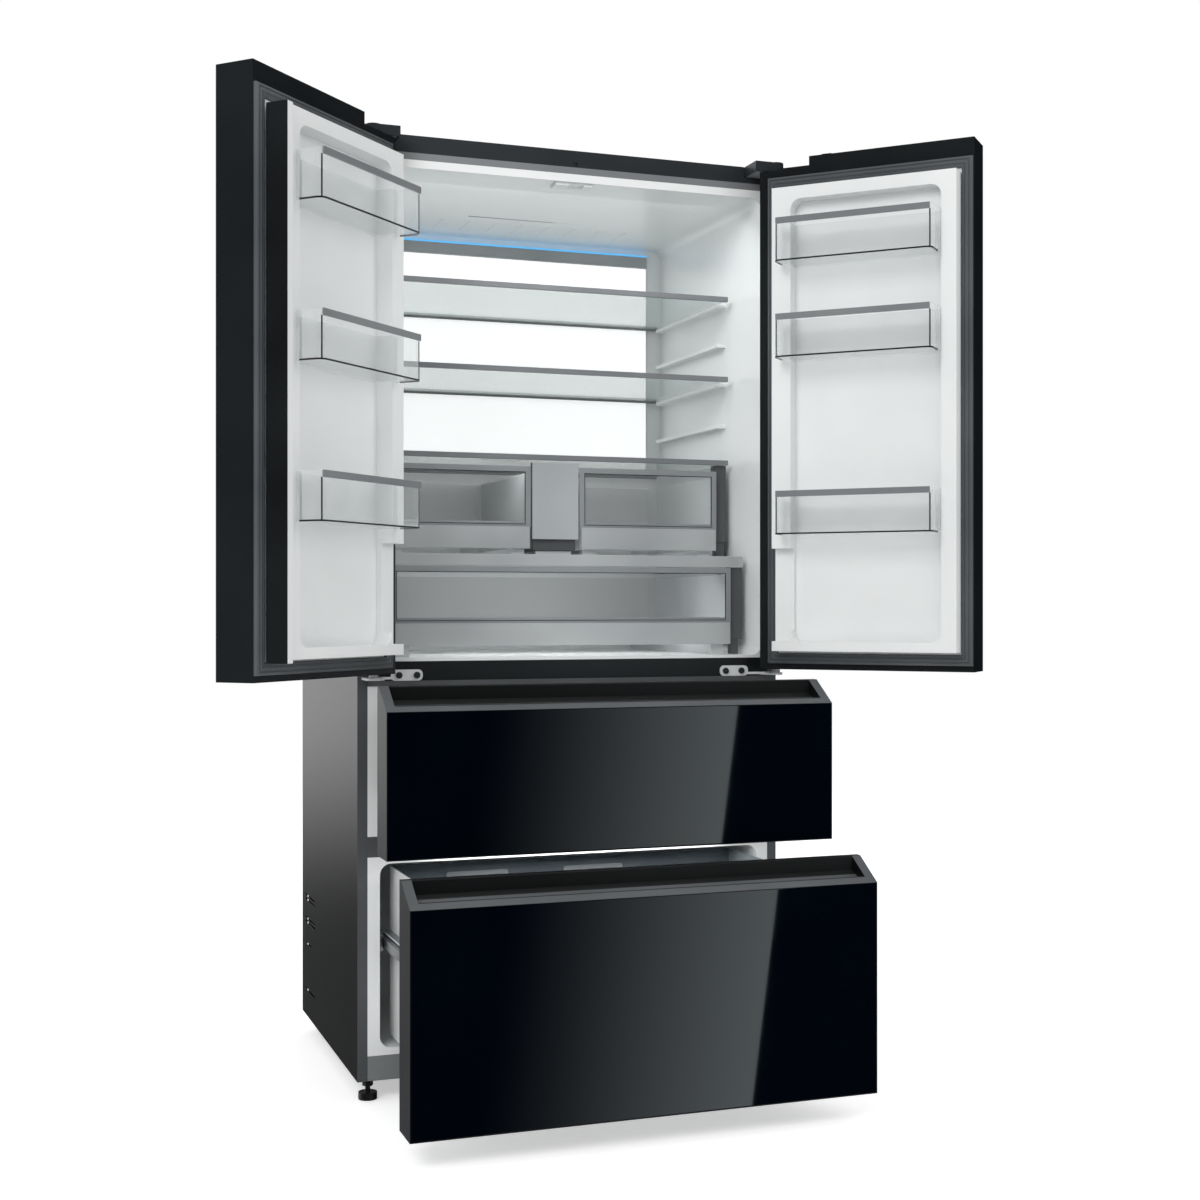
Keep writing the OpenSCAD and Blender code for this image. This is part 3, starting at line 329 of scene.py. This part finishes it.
def shade(mesh, degrees=35):
    """Smooth shading with sharp edges kept where the surface turns more than this."""
    mesh.polygons.foreach_set("use_smooth", [True] * len(mesh.polygons))
    bm = bmesh.new()
    bm.from_mesh(mesh)
    for edge in bm.edges:
        edge.smooth = len(edge.link_faces) == 2 and edge.calc_face_angle(0) < math.radians(degrees)
    bm.to_mesh(mesh)
    bm.free()
    return mesh


def soften(node, material, width=1.0, segments=2, zones=(), join_flats=True, cuts=()):
    """A softened copy of a part. zones are (material, test) pairs: test(centre, normal) in mm."""
    mesh = merged(node, join_flats, cuts)
    for index, (_, test) in enumerate(zones, 1):
        for face in mesh.polygons:
            if face.material_index == 0 and test(face.center / MM, face.normal):
                face.material_index = index
    for m in [material, *[m for m, _ in zones]]:
        mesh.materials.append(m)
    mesh = bevelled(mesh, width, segments)
    piece = as_piece(node + "_part", mesh, body_of[node], slot_of[node], [node])
    return piece


print("softening ready")

# %% [markdown]
# ## Cabinet
# The cabinet is a wrap of thin folded steel, so its edges are rounded by only 0.3 mm, and its
# front edge is a grey strip. The top panel, the kick panel and the beams between the
# compartments are separate pieces.

# %% Cabinet outside
front_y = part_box("top_panel")[0].y / MM
print("cabinet front plane at", round(front_y, 1), "mm")

soften("cabinet_shell", powder_steel, 0.3, 2, [(strip_grey, lambda c, n: n.y < -0.9)])
soften("top_panel", top_black, 1.5, 3)
soften("hinge_covers", top_black, 1.5, 3)
soften("upper_hinges", zinc_steel, 0.6, 2)
soften("lower_hinges", bracket_steel, 0.6, 2)
soften("kick_panel", kick_grey, 1.5, 3)
soften("front_feet", foot_black, 1.0, 2)
cross_beam_z = (818, 861)
soften("front_rails", strip_grey, 1.0, 2,
       [(door_black, lambda c, n: cross_beam_z[0] < c.z < cross_beam_z[1])])
print("outside softened")

# %% [markdown]
# ## Screws and bolts
# The bolts that hold the hinges are darker than their bright brackets, so each head stands out.
# One node holds all of them, and only their edges are rounded.

# %% Hinge bolts
soften("hinge_screws", bolt_steel, 0.5, 2)
print("screws softened")

# %% [markdown]
# ## Linings
# The linings are drawn from one sheet of white polystyrene, so their corners are round and their
# surface is a little wavy: the shape is the part's own, and the waves are in the finish. The
# back panel has a faint painted glow, which keeps it white. The frame round the crispers is light grey with
# brushed rails and dark posts.

# %% Linings and inside parts
soften("fridge_liner", liner_white, 0.9, 2)
soften("freezer_liner", liner_white, 0.9, 2)
soften("duct_panel", white_panel_painted_glow, 1.0, 2, [(black_trim_and_painted_shade, lambda c, n: n.x > 0.9 and c.z > 1200)])
soften("duct_header", header_metal, 1.0, 2)
soften("light_strip", lamp_blue, 0.8, 2)
soften("mullion_guide", rib_white, 0.8, 2)
soften("shelf_glasses", shelf_glass, 0.5, 2)
soften("shelf_trims", trim_grey, 0.8, 3)
deck_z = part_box("bottom_crisper")[1].z / MM
post_x = 372
crisper_top_z = 1280
low_post_depth, high_post_depth = 92, 175


def on_post(c, n):
    depth = c.y - front_y
    deep_enough = depth < low_post_depth or (c.z > deck_z + 30 and depth < high_post_depth)
    return abs(c.x) > post_x and c.z < crisper_top_z and deep_enough


def on_rail(c, n):
    return n.y < -0.9 and deck_z - 2 < c.z < deck_z + 28


soften("crisper_frame", frame_light, 0.8, 2, [(brushed_strip, on_rail), (post_grey, on_post)])
print("linings done")

# %% [markdown]
# ## Crispers and water tank
# Each crisper is a clear box whose front has a deep grip strip of brushed aluminium. The water
# tank between the upper two is dark grey behind a brushed steel front.

# %% Crispers
crispers = ("left_crisper", "right_crisper", "bottom_crisper")
grip_strip_depth, grip_strip_height = 6.5, 47
for crisper in crispers:
    front_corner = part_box(crisper)[0] / MM

    def on_strip(c, n, low=front_corner):
        return c.y < low.y + grip_strip_depth and c.z < low.z + grip_strip_height

    soften(crisper, clear_ps, 0.8, 2, [(brushed_strip, on_strip)])
tank_front_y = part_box("water_tank")[0].y / MM
soften("water_tank", post_grey, 1.2, 3,
       [(tank_metal, lambda c, n: n.y < -0.9 and c.y < tank_front_y + 3)])
print("crisper boxes done")

# %% [markdown]
# ## Doors
# A door has a glass front, a moulded frame, a white lining drawn over the foam, a magnetic
# gasket round it and clear bins. The doors stand open, so pieces are placed in the door's own
# directions: s across the door from the hinge side, n out of its inner face, and z up.

# %% Door directions
hinge_to_edge = 22
hinge_to_face = 36
rest_angle = math.radians(-135)


def door_point(side, s, n, z):
    """The place in metres of s, n, z in mm on a door as it stands open at rest."""
    sign = 1 if side == "left" else -1
    hinge = joint_at[side + "_door_hinge"]
    turn_x, turn_y = math.cos(rest_angle), math.sin(rest_angle)
    x, y = s - hinge_to_edge, n + hinge_to_face
    return Vector((hinge.x / MM + sign * (turn_x * x - turn_y * y),
                   hinge.y / MM + turn_y * x + turn_x * y, z)) * MM


for side in ("left", "right"):
    lo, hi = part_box(side + "_door_glass")
    print(side, "door glass", [round(v, 3) for v in lo], [round(v, 3) for v in hi])

# %% Door bodies
for side in ("left", "right"):
    soften(side + "_door_glass", front_glass, 0.8, 2)
    soften(side + "_door_frame", door_black, 1.5, 3)
    soften(side + "_door_liner", liner_white, 0.9, 3)
    soften(side + "_door_bins", clear_ps, 0.8, 2)
soften("flap_body", rib_white, 2.0, 3)
soften("flap_face", black_trim_and_painted_shade, 0.5, 2)
print("door bodies done")

# %% [markdown]
# ## Gaskets
# A gasket is one extruded profile, welded at its four corners: ridges with grooves between them.
# The profile goes round a rectangle with mitred corners, as the real one does.

# %% Ring from a profile


def ring_mesh(name, rectangle, profile, place):
    """profile is a closed list of (inset, height) in mm; place turns (a, b, height) to metres."""
    a0, a1, b0, b1 = rectangle
    bm = bmesh.new()
    rows = []
    for inset, height in profile:
        corners = [(a0 + inset, b0 + inset), (a1 - inset, b0 + inset),
                   (a1 - inset, b1 - inset), (a0 + inset, b1 - inset)]
        rows.append([bm.verts.new(place(a, b, height)) for a, b in corners])
    count = len(rows)
    for i in range(count):
        low, high = rows[i], rows[(i + 1) % count]
        for k in range(4):
            m = (k + 1) % 4
            bm.faces.new((low[k], low[m], high[m], high[k]))
    bmesh.ops.recalc_face_normals(bm, faces=bm.faces)
    mesh = bpy.data.meshes.new(name)
    bm.to_mesh(mesh)
    bm.free()
    return shade(mesh, 50)


gasket_s = (19, 446)
gasket_width, gasket_height = 22, 9.5
gasket_profile = [(0, 0), (0, 4.5), (1.2, 7.5), (3, 8.6), (5, 8.6), (6.2, 6.8), (7.8, 6.8),
                  (9, 8.9), (11, 9.5), (13, 8.9), (14.2, 6.8), (15.8, 6.8), (17, 8.4),
                  (19, 8.4), (21, 7), (22, 4.5), (22, 0)]
for side in ("left", "right"):
    glo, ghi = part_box(side + "_door_gasket")
    ring = ring_mesh(side + "_door_gasket_part", (*gasket_s, glo.z / MM, ghi.z / MM), gasket_profile,
                     lambda a, b, h, side=side: door_point(side, a, h, b))
    as_piece(ring.name, ring, side + "_door", "gasket_rubber", [side + "_door_gasket"], gasket_grey)
print("door gaskets done")

# %% [markdown]
# ## Crisper windows
# Each crisper's window sits in a grey moulded frame with a thin dark inner edge, which makes the
# clear wall read as a window. Both are rings with a flat profile and mitred corners.

# %% Window frames
for crisper in crispers:
    lo, hi = (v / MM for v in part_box(crisper))
    face = lo.y + 6
    for part, inset, width, material in (("frame", 1, 11, window_frame), ("edge", 12, 1.6, black_trim_and_painted_shade)):
        flat = [(inset, 0.2), (inset, -1.4), (inset + width, -1.4), (inset + width, 0.2)]
        ring = ring_mesh(f"{crisper}_window_{part}", (lo.x, hi.x, lo.z + 46 - inset * 0.6, hi.z), flat,
                         lambda a, b, h, y=face: Vector((a, y + h, b)) * MM)
        as_piece(ring.name, ring, crisper, None, [], material)
print("window frames done")

# %% Drawer gaskets
drawer_gasket_width = 20
for drawer in ("upper_drawer", "lower_drawer"):
    glo, ghi = (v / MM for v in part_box(drawer + "_gasket"))
    drawer_profile = [(i * drawer_gasket_width / gasket_width, h * (ghi.y - glo.y) / gasket_height)
                      for i, h in gasket_profile]
    ring = ring_mesh(drawer + "_gasket_part", (glo.x, ghi.x, glo.z, ghi.z), drawer_profile,
                     lambda a, b, h, y=glo.y: Vector((a, y + h, b)) * MM)
    as_piece(ring.name, ring, drawer, "gasket_rubber", [drawer + "_gasket"], gasket_grey)
print("drawer gaskets done")

# %% [markdown]
# ## Bin trims
# Each clear bin carries a grey moulded band along the top of its front. A thin dark line runs
# round its foot, along the bin's outline with its two round corners, and up each front corner:
# that is the cut edge of clear plastic, which looks dark from the side. These lines are opaque black bands,
# painted shade that stands in for that dark look.

# %% Band along a path


def band_mesh(name, path, z0, z1, out, thick, place):
    """A band z0 to z1 that follows path (s, n), from `out` mm outside it to `thick` mm inside."""
    bm = bmesh.new()
    rows = []
    for i, (s, n) in enumerate(path):
        before, after = path[max(i - 1, 0)], path[min(i + 1, len(path) - 1)]
        along = Vector((after[0] - before[0], after[1] - before[1])).normalized()
        outward = Vector((-along.y, along.x))
        ring = []
        for offset, z in ((out, z0), (out, z1), (out - thick, z1), (out - thick, z0)):
            ring.append(bm.verts.new(place(s + outward.x * offset, n + outward.y * offset, z)))
        rows.append(ring)
    for low, high in zip(rows, rows[1:]):
        for k in range(4):
            m = (k + 1) % 4
            bm.faces.new((low[k], low[m], high[m], high[k]))
    bm.faces.new(rows[0])
    bm.faces.new(rows[-1])
    bmesh.ops.recalc_face_normals(bm, faces=bm.faces)
    mesh = bpy.data.meshes.new(name)
    bm.to_mesh(mesh)
    bm.free()
    return bevelled(mesh, 0.5, 2)


def bin_path(s0, s1, n0, n1, r):
    """The outline of a bin, as (s, n) points: along one end, the front and the other end."""
    left = [(s0 + r - r * math.cos(a), n1 - r + r * math.sin(a))
            for a in [math.radians(15 * k) for k in range(7)]]
    right = [(s0 + s1 - s, n) for s, n in reversed(left)]
    return [(s0, n0)] + left + right + [(s1, n0)]


bin_heights = {"left": [], "right": []}
for opening in frame["record"]["physics"]["openings"]:
    for side in bin_heights:
        if opening["name"].startswith(side) and opening["name"].endswith("bin_1"):
            bin_heights[side].append(opening["box_m"][0][2] / MM - 6)
print("bins stand at", bin_heights)

# %% Bands on the bins
bin_s, bin_n, bin_corner = (65, 388), (52, 100), 14
band_low, band_high = 75, 87.4
for side in ("left", "right"):
    path = bin_path(bin_s[0], bin_s[1], bin_n[0], bin_n[1], bin_corner)
    for k, z in enumerate(bin_heights[side]):
        place = lambda s, n, h, side=side: door_point(side, s, n, h)
        top = band_mesh(f"{side}_bin_band_{k}", [(bin_s[0] + 4, bin_n[1]), (bin_s[1] - 4, bin_n[1])],
                        z + band_low, z + band_high, 0.7, 4.0, place)
        as_piece(top.name, top, side + "_door", None, [], trim_grey)
        # The edge posts and the foot band are black: painted shade for the dark look of the clear cut edge.
        for end, s, turn in (("hinge", 69.1, 1), ("free", 383.9, -1)):
            post = band_mesh(f"{side}_bin_{end}_edge_{k}", [(s - 0.9, 95.9 - 0.9 * turn),
                             (s + 0.9, 95.9 + 0.9 * turn)], z + 2, z + band_low, 0.5, 2.0,
                             place)
            as_piece(post.name, post, side + "_door", None, [], black_trim_and_painted_shade)
        foot = band_mesh(f"{side}_bin_foot_{k}", path, z - 0.4, z + 2.6, 0.5, 3.0, place)
        as_piece(foot.name, foot, side + "_door", None, [], black_trim_and_painted_shade)
print("bin bands done")

# %% [markdown]
# ## Rows of small slots
# Air grooves, vent slots, plates and strips are all one thing: a small bar with round corners,
# repeated at an even pitch. The vent slots and the ceiling slot are drawn as dark and grey bars: painted shade in
# the openings. Geometry Nodes draws the bar once and repeats it along a line, so a row is a few numbers. Merge by
# Distance works at a millimetre, so a bar that stands up less than that loses faces or becomes a flat sheet. The
# row becomes a plain mesh before it joins the object.

# %% Row tree
corner_points = 4


def row_tree():
    tree = bpy.data.node_groups.new("row_of_bars", "GeometryNodeTree")
    tree.interface.new_socket("Geometry", in_out="OUTPUT", socket_type="NodeSocketGeometry")
    for name, kind in (("Count", "NodeSocketInt"), ("Pitch", "NodeSocketFloat"),
                       ("Length", "NodeSocketFloat"), ("Height", "NodeSocketFloat"),
                       ("Depth", "NodeSocketFloat"), ("Round", "NodeSocketFloat"),
                       ("Finish", "NodeSocketMaterial")):
        tree.interface.new_socket(name, in_out="INPUT", socket_type=kind)
    given = add(tree, "NodeGroupInput").outputs
    outline = add(tree, "GeometryNodeCurvePrimitiveQuadrilateral",
                  {"Width": given["Length"], "Height": given["Height"]})
    soft = add(tree, "GeometryNodeFilletCurve", {"Curve": outline.outputs[0], "Radius": given["Round"]},
               mode="POLY")
    soft.inputs["Count"].default_value = corner_points
    face = add(tree, "GeometryNodeFillCurve", {"Curve": soft.outputs[0]}, mode="NGONS")
    up = add(tree, "ShaderNodeCombineXYZ", {"Z": given["Depth"]})
    raised = add(tree, "GeometryNodeExtrudeMesh", {"Mesh": face.outputs[0], "Offset": up.outputs[0]})
    under = add(tree, "GeometryNodeFlipFaces", {"Mesh": face.outputs[0]})
    closed = add(tree, "GeometryNodeJoinGeometry")
    tree.links.new(raised.outputs["Mesh"], closed.inputs[0])
    tree.links.new(under.outputs[0], closed.inputs[0])
    solid = add(tree, "GeometryNodeMergeByDistance", {"Geometry": closed.outputs[0]})
    step = add(tree, "ShaderNodeCombineXYZ", {"Y": given["Pitch"]})
    line = add(tree, "GeometryNodeMeshLine", {"Count": given["Count"], "Offset": step.outputs[0]})
    placed = add(tree, "GeometryNodeInstanceOnPoints",
                 {"Points": line.outputs[0], "Instance": solid.outputs[0]})
    real = add(tree, "GeometryNodeRealizeInstances", {"Geometry": placed.outputs[0]})
    painted = add(tree, "GeometryNodeSetMaterial",
                  {"Geometry": real.outputs[0], "Material": given["Finish"]})
    out = add(tree, "NodeGroupOutput")
    tree.links.new(painted.outputs[0], out.inputs[0])
    return tree


bar_row = row_tree()
print("row tree has", len(bar_row.nodes), "nodes")

# %% Rows on the object


def row_of_bars(name, body, material, place, count, pitch, length, height, depth, rounding):
    """A row along the local Y of `place`, bars `length` along X, standing `depth` along Z, in mm."""
    holder = bpy.data.objects.new("holder", bpy.data.meshes.new("holder"))
    bpy.context.scene.collection.objects.link(holder)
    rows = holder.modifiers.new("rows", "NODES")
    rows.node_group = bar_row
    values = {"Count": count, "Pitch": pitch * MM, "Length": length * MM, "Height": height * MM,
              "Depth": depth * MM, "Round": rounding * MM, "Finish": material}
    for item in bar_row.interface.items_tree:
        if item.in_out == "INPUT":
            rows[item.identifier] = values[item.name]
    bpy.context.view_layer.update()
    mesh = bpy.data.meshes.new_from_object(holder.evaluated_get(bpy.context.evaluated_depsgraph_get()))
    bpy.data.objects.remove(holder)
    mesh.name = name
    mesh.transform(place)
    return as_piece(name, shade(mesh, 40), body, None, [])


def facing(at, along_length, along_row, out):
    """A place in mm: bars lie along the first direction, repeat along the second."""
    turn = Matrix((along_length, along_row, out)).transposed().to_4x4()
    return Matrix.Translation(Vector(at) * MM) @ turn


ceiling_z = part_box("mullion_guide")[1].z / MM
# The ceiling slot is a grey bar on the white ceiling: painted shade in the opening.
row_of_bars("ceiling_slot_shade", "cabinet", trim_grey,
            facing((22, front_y + 361, ceiling_z + 0.4), (1, 0, 0), (0, -1, 0), (0, 0, -1)),
            1, 10, 302, 5, 0.9, 2)
row_of_bars("ceiling_grooves", "cabinet", liner_white,
            facing((-235, front_y + 455, ceiling_z + 0.4), (0, 1, 0), (1, 0, 0), (0, 0, -1)),
            9, 62, 96, 5, 1.4, 2)
row_of_bars("top_strip", "cabinet", strip_grey,
            facing((0, front_y + 0.2, 1858), (1, 0, 0), (0, 0, 1), (0, -1, 0)), 1, 10, 858, 12, 0.6, 0.5)
print("ceiling rows done")

# %% [markdown]
# ## Freezer drawers
# A drawer front is a glass sheet on a shell whose top slants back to a finger trough. The frame
# of the slant is grey, the trough and the upper half of the bar in front of it are matt black,
# and the sides are coated grey. The baskets run on steel rails.

# %% Drawers
grip_side, lip_height, side_x = 18, 10, 440
for drawer in ("upper_drawer", "lower_drawer"):
    soften(drawer + "_glass", front_glass, 0.8, 2)
    trough_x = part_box(drawer + "_front")[1].x / MM - grip_side
    lip_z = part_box(drawer + "_glass")[1].z / MM + lip_height

    def on_grip_frame(c, n, trough_x=trough_x, lip_z=lip_z):
        return n.y < -0.2 and n.z > 0.2 and (abs(c.x) > trough_x or c.z < lip_z)

    soften(drawer + "_front", grip_black, 1.0, 3,
           [(side_grey, lambda c, n: abs(n.x) > 0.9 and abs(c.x) > side_x),
            (grip_grey, on_grip_frame)], join_flats=False,
           cuts=[((trough_x, 0, 0), (1, 0, 0)), ((-trough_x, 0, 0), (1, 0, 0)),
                 ((0, 0, lip_z), (0, 0, 1))])
    soften(drawer + "_slides", rail_steel, 0.8, 2)
soften("upper_drawer_basket", liner_white, 1.2, 2)
soften("lower_drawer_basket", smoked_ps, 1.2, 2,
       [(liner_white, lambda c, n: abs(n.x) > 0.9 and abs(c.x) > 369)])
soften("upper_middle_rails", rail_steel, 0.8, 2)
soften("lower_middle_rails", rail_steel, 0.8, 2)
soften("drawer_channels", rail_steel, 0.8, 2)
basket_lo, basket_hi = (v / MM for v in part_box("lower_drawer_basket"))
for name, x in (("basket_vent_left", -190), ("basket_vent_right", 60)):
    at = (x, basket_hi.y - 3.2, basket_hi.z - 34)
    row_of_bars(name + "_plate", "lower_drawer", window_frame,
                facing(at, (1, 0, 0), (0, 0, 1), (0, -1, 0)), 1, 10, 130, 30, 1.2, 5)
    # The slots are black bars on the plate: painted shade in the openings.
    row_of_bars(name + "_slots", "lower_drawer", black_trim_and_painted_shade,
                facing((x - 38, at[1], at[2]), (0, 0, 1), (1, 0, 0), (0, -1, 0)), 3, 38, 12, 34, 1.9, 5)
window_at = (basket_lo.y + 190, basket_lo.z + 105)
for sign, side in ((-1, "left"), (1, "right")):
    row_of_bars(f"basket_window_{side}", "lower_drawer", smoked_ps,
                facing((sign * 370.2, window_at[0], window_at[1]), (0, 1, 0), (0, 0, 1), (sign, 0, 0)),
                1, 10, 250, 170, 0.6, 26)
row_of_bars("header_strip", "cabinet", trim_grey,
            facing((0, front_y, 1857), (1, 0, 0), (0, 0, 1), (0, -1, 0)), 1, 10, 858, 14, 0.3, 1)
print("drawers done")

# %% [markdown]
# ## Machine compartment
# These parts show from the back and below. They keep their shape, with small rounds on their
# edges. The foam, the condenser and the evaporator are hidden, so they only get a finish.

# %% Machine parts
soften("compressor", compressor_enamel, 2.0, 3)
soften("machine_cover", cover_zinc, 0.4, 2)
soften("drain_pan", fan_grey, 0.8, 2)
soften("control_board", board_green, 0.3, 1)
soften("power_inlet", black_trim_and_painted_shade, 0.6, 2)
soften("condenser_fan", fan_grey, 0.3, 1)
soften("evaporator_fan", fan_grey, 0.3, 1)
soften("rear_rollers", roller_grey, 0.8, 2)
for node, material in (("condenser", fin_aluminium), ("evaporator", fin_aluminium),
                       ("cabinet_foam", foam_pale), ("left_door_foam", foam_pale),
                       ("right_door_foam", foam_pale)):
    data = nodes[node].data
    data.materials.clear()
    data.materials.append(material)
print("machine parts done")

# %% [markdown]
# ## Room and light
# The floor is pale and plain. It is lit white where nothing shades it, and the object keeps its
# soft shadow. The background is white to the camera, to reflections and through clear parts.
# Dark studio walls in front and at both sides are seen only in reflections. One bright card in
# front draws the soft grey sheen with a slanted edge across the black glass. A second one,
# behind and to the left, brightens with height: the side wall fades from grey to black in it.

# %% World and floor
world = bpy.data.worlds.new("studio")
bpy.context.scene.world = world
world.use_nodes = True
sky = world.node_tree.nodes["Background"]
light_path = add(world.node_tree, "ShaderNodeLightPath")
either = add(world.node_tree, "ShaderNodeMath", operation="MAXIMUM")
world.node_tree.links.new(light_path.outputs["Is Camera Ray"], either.inputs[0])
world.node_tree.links.new(light_path.outputs["Is Glossy Ray"], either.inputs[1])
any_of = add(world.node_tree, "ShaderNodeMath", operation="MAXIMUM")
world.node_tree.links.new(either.outputs[0], any_of.inputs[0])
world.node_tree.links.new(light_path.outputs["Is Transmission Ray"], any_of.inputs[1])
level = add(world.node_tree, "ShaderNodeMapRange", {"Value": any_of.outputs[0]},
            {"To Min": 0.62, "To Max": 1.0})
world.node_tree.links.new(level.outputs["Result"], sky.inputs["Strength"])
sky.inputs["Color"].default_value = (1, 1, 1, 1)

floor_mesh = bpy.data.meshes.new("floor")
reach = 9
floor_mesh.from_pydata([(-reach, -reach, -0.001), (reach, -reach, -0.001), (reach, reach, -0.001),
                        (-reach, reach, -0.001)], [], [(0, 1, 2, 3)])
floor = bpy.data.objects.new("floor", floor_mesh)
bpy.context.scene.collection.objects.link(floor)
floor_paint, tree, shader, place = new_material("pale_studio_floor")
mottle = noise_at(tree, place, 3, 2)
colour = ramp_between(tree, mottle.outputs["Fac"], linear("#f4f4f4"), linear("#f8f8f8"))
tree.links.new(colour.outputs["Color"], shader.inputs["Base Color"])
shader.inputs["Roughness"].default_value = 0.9
shader.inputs["Specular IOR Level"].default_value = 0.1
glow = add(tree, "ShaderNodeEmission", inputs={"Strength": 0.45})
seen = add(tree, "ShaderNodeLightPath")
dark = add(tree, "ShaderNodeEmission", inputs={"Strength": 0.0})
glow_mix = add(tree, "ShaderNodeMixShader")
tree.links.new(seen.outputs["Is Camera Ray"], glow_mix.inputs[0])
tree.links.new(dark.outputs[0], glow_mix.inputs[1])
tree.links.new(glow.outputs[0], glow_mix.inputs[2])
both = add(tree, "ShaderNodeAddShader")
tree.links.new(shader.outputs[0], both.inputs[0])
tree.links.new(glow_mix.outputs[0], both.inputs[1])
tree.links.new(both.outputs[0], tree.nodes["Material Output"].inputs["Surface"])
floor_mesh.materials.append(floor_paint)
floor.visible_glossy = False
floor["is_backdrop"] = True
print("floor and world ready")

# %% Reflected studio


def reflected_card(name, corners, strength_at):
    """A flat card seen only in reflections. strength_at(tree, place) gives its brightness socket."""
    mesh = bpy.data.meshes.new(name)
    mesh.from_pydata(corners, [], [(0, 1, 2, 3)])
    card = bpy.data.objects.new(name, mesh)
    bpy.context.scene.collection.objects.link(card)
    material = bpy.data.materials.new(name)
    material.use_nodes = True
    tree = material.node_tree
    tree.nodes.remove(tree.nodes["Principled BSDF"])
    place = add(tree, "ShaderNodeTexCoord")
    glow = add(tree, "ShaderNodeEmission")
    strength_at(tree, place, glow)
    tree.links.new(glow.outputs[0], tree.nodes["Material Output"].inputs["Surface"])
    mesh.materials.append(material)
    card.visible_camera = False
    card.visible_diffuse = False
    card.visible_transmission = False
    card.visible_shadow = False
    card.visible_volume_scatter = False
    card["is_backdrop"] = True
    return card


def dark_wall(tree, place, glow):
    glow.inputs["Color"].default_value = linear("#0c1016")
    glow.inputs["Strength"].default_value = 1.0


wall_y = -4.2
reflected_card("reflected_wall", [(-9, wall_y, -8), (9, wall_y, -8), (9, wall_y, 8),
                                  (-9, wall_y, 8)], dark_wall)

reflected_card("reflected_left", [(-5, -6, -8), (-5, 1.2, -8), (-5, 1.2, 8), (-5, -6, 8)],
               dark_wall)
reflected_card("reflected_right", [(5, -6, -8), (5, 9, -8), (5, 9, 8), (5, -6, 8)], dark_wall)


def rising(tree, place, glow):
    parts = add(tree, "ShaderNodeSeparateXYZ", {"Vector": place.outputs["Object"]})
    fade = add(tree, "ShaderNodeMapRange", {"Value": parts.outputs["Z"]},
               {"From Min": -0.45, "From Max": 0.6, "To Min": 0.0, "To Max": 1.0},
               interpolation_type="SMOOTHSTEP")
    tree.links.new(fade.outputs["Result"], glow.inputs["Strength"])


reflected_card("reflected_back_card", [(-3.2, 4.2, -6), (-0.7, 4.2, -6), (-0.7, 4.2, 4),
                                       (-3.2, 4.2, 4)], rising)

lean = 0.133
edge_x = 0.669


def sheen(tree, place, glow):
    parts = add(tree, "ShaderNodeSeparateXYZ", {"Vector": place.outputs["Object"]})
    upright = add(tree, "ShaderNodeMath", {0: parts.outputs["Z"]}, operation="MULTIPLY")
    upright.inputs[1].default_value = -lean
    across = add(tree, "ShaderNodeMath", {0: parts.outputs["X"], 1: upright.outputs[0]},
                 operation="ADD")
    fade = add(tree, "ShaderNodeMapRange", {"Value": across.outputs[0]},
               {"From Min": -0.05, "From Max": 1.0, "To Min": 0.0, "To Max": 2.8},
               interpolation_type="SMOOTHSTEP")
    tree.links.new(fade.outputs["Result"], glow.inputs["Strength"])
    glow.inputs["Color"].default_value = linear("#e8f3f5")


card_y = -1.5
low_z, high_z = -2.0, 1.2
reflected_card("reflected_card", [(-0.6, card_y, low_z), (edge_x + low_z * lean, card_y, low_z),
                                  (edge_x + high_z * lean, card_y, high_z),
                                  (-0.6, card_y, high_z)], sheen)
print("studio ready")

# %% Lamps


def softbox(name, at, towards, width, height, watts):
    lamp = bpy.data.lights.new(name, "AREA")
    lamp.shape = "RECTANGLE"
    lamp.size, lamp.size_y, lamp.energy = width, height, watts
    holder = bpy.data.objects.new(name, lamp)
    holder.location = at
    direction = Vector(towards) - Vector(at)
    holder.rotation_euler = direction.to_track_quat("-Z", "Y").to_euler()
    holder.visible_glossy = False
    holder.visible_camera = False
    bpy.context.scene.collection.objects.link(holder)
    return holder


softbox("key", (-3.2, -3.6, 3.6), (0, 0, 1.0), 2.0, 2.0, 110)
softbox("fill", (3.4, -3.0, 2.6), (0, 0, 1.2), 2.0, 2.0, 40)
softbox("back", (0.5, 4.0, 3.4), (0, 0, 1.0), 3.0, 2.0, 60)
softbox("cavity_lamp", (0, -0.05, 1.80), (0, 0.30, 1.2), 0.7, 0.25, 1.0)
softbox("freezer_lamp", (0, -0.16, 0.50), (0, -0.16, 0.1), 0.6, 0.1, 1.6)
softbox("crisper_lamp", (0, 0.10, 1.272), (0, 0.16, 1.1), 0.6, 0.1, 0.7)
softbox("low_crisper_lamp", (0, 0.05, 1.047), (0, 0.10, 0.9), 0.6, 0.1, 0.9)
print("lamps ready")

# %% Sizes and finish
for light in bpy.data.lights:
    print(light.name, light.energy)
print("visual box", plain_bounds())
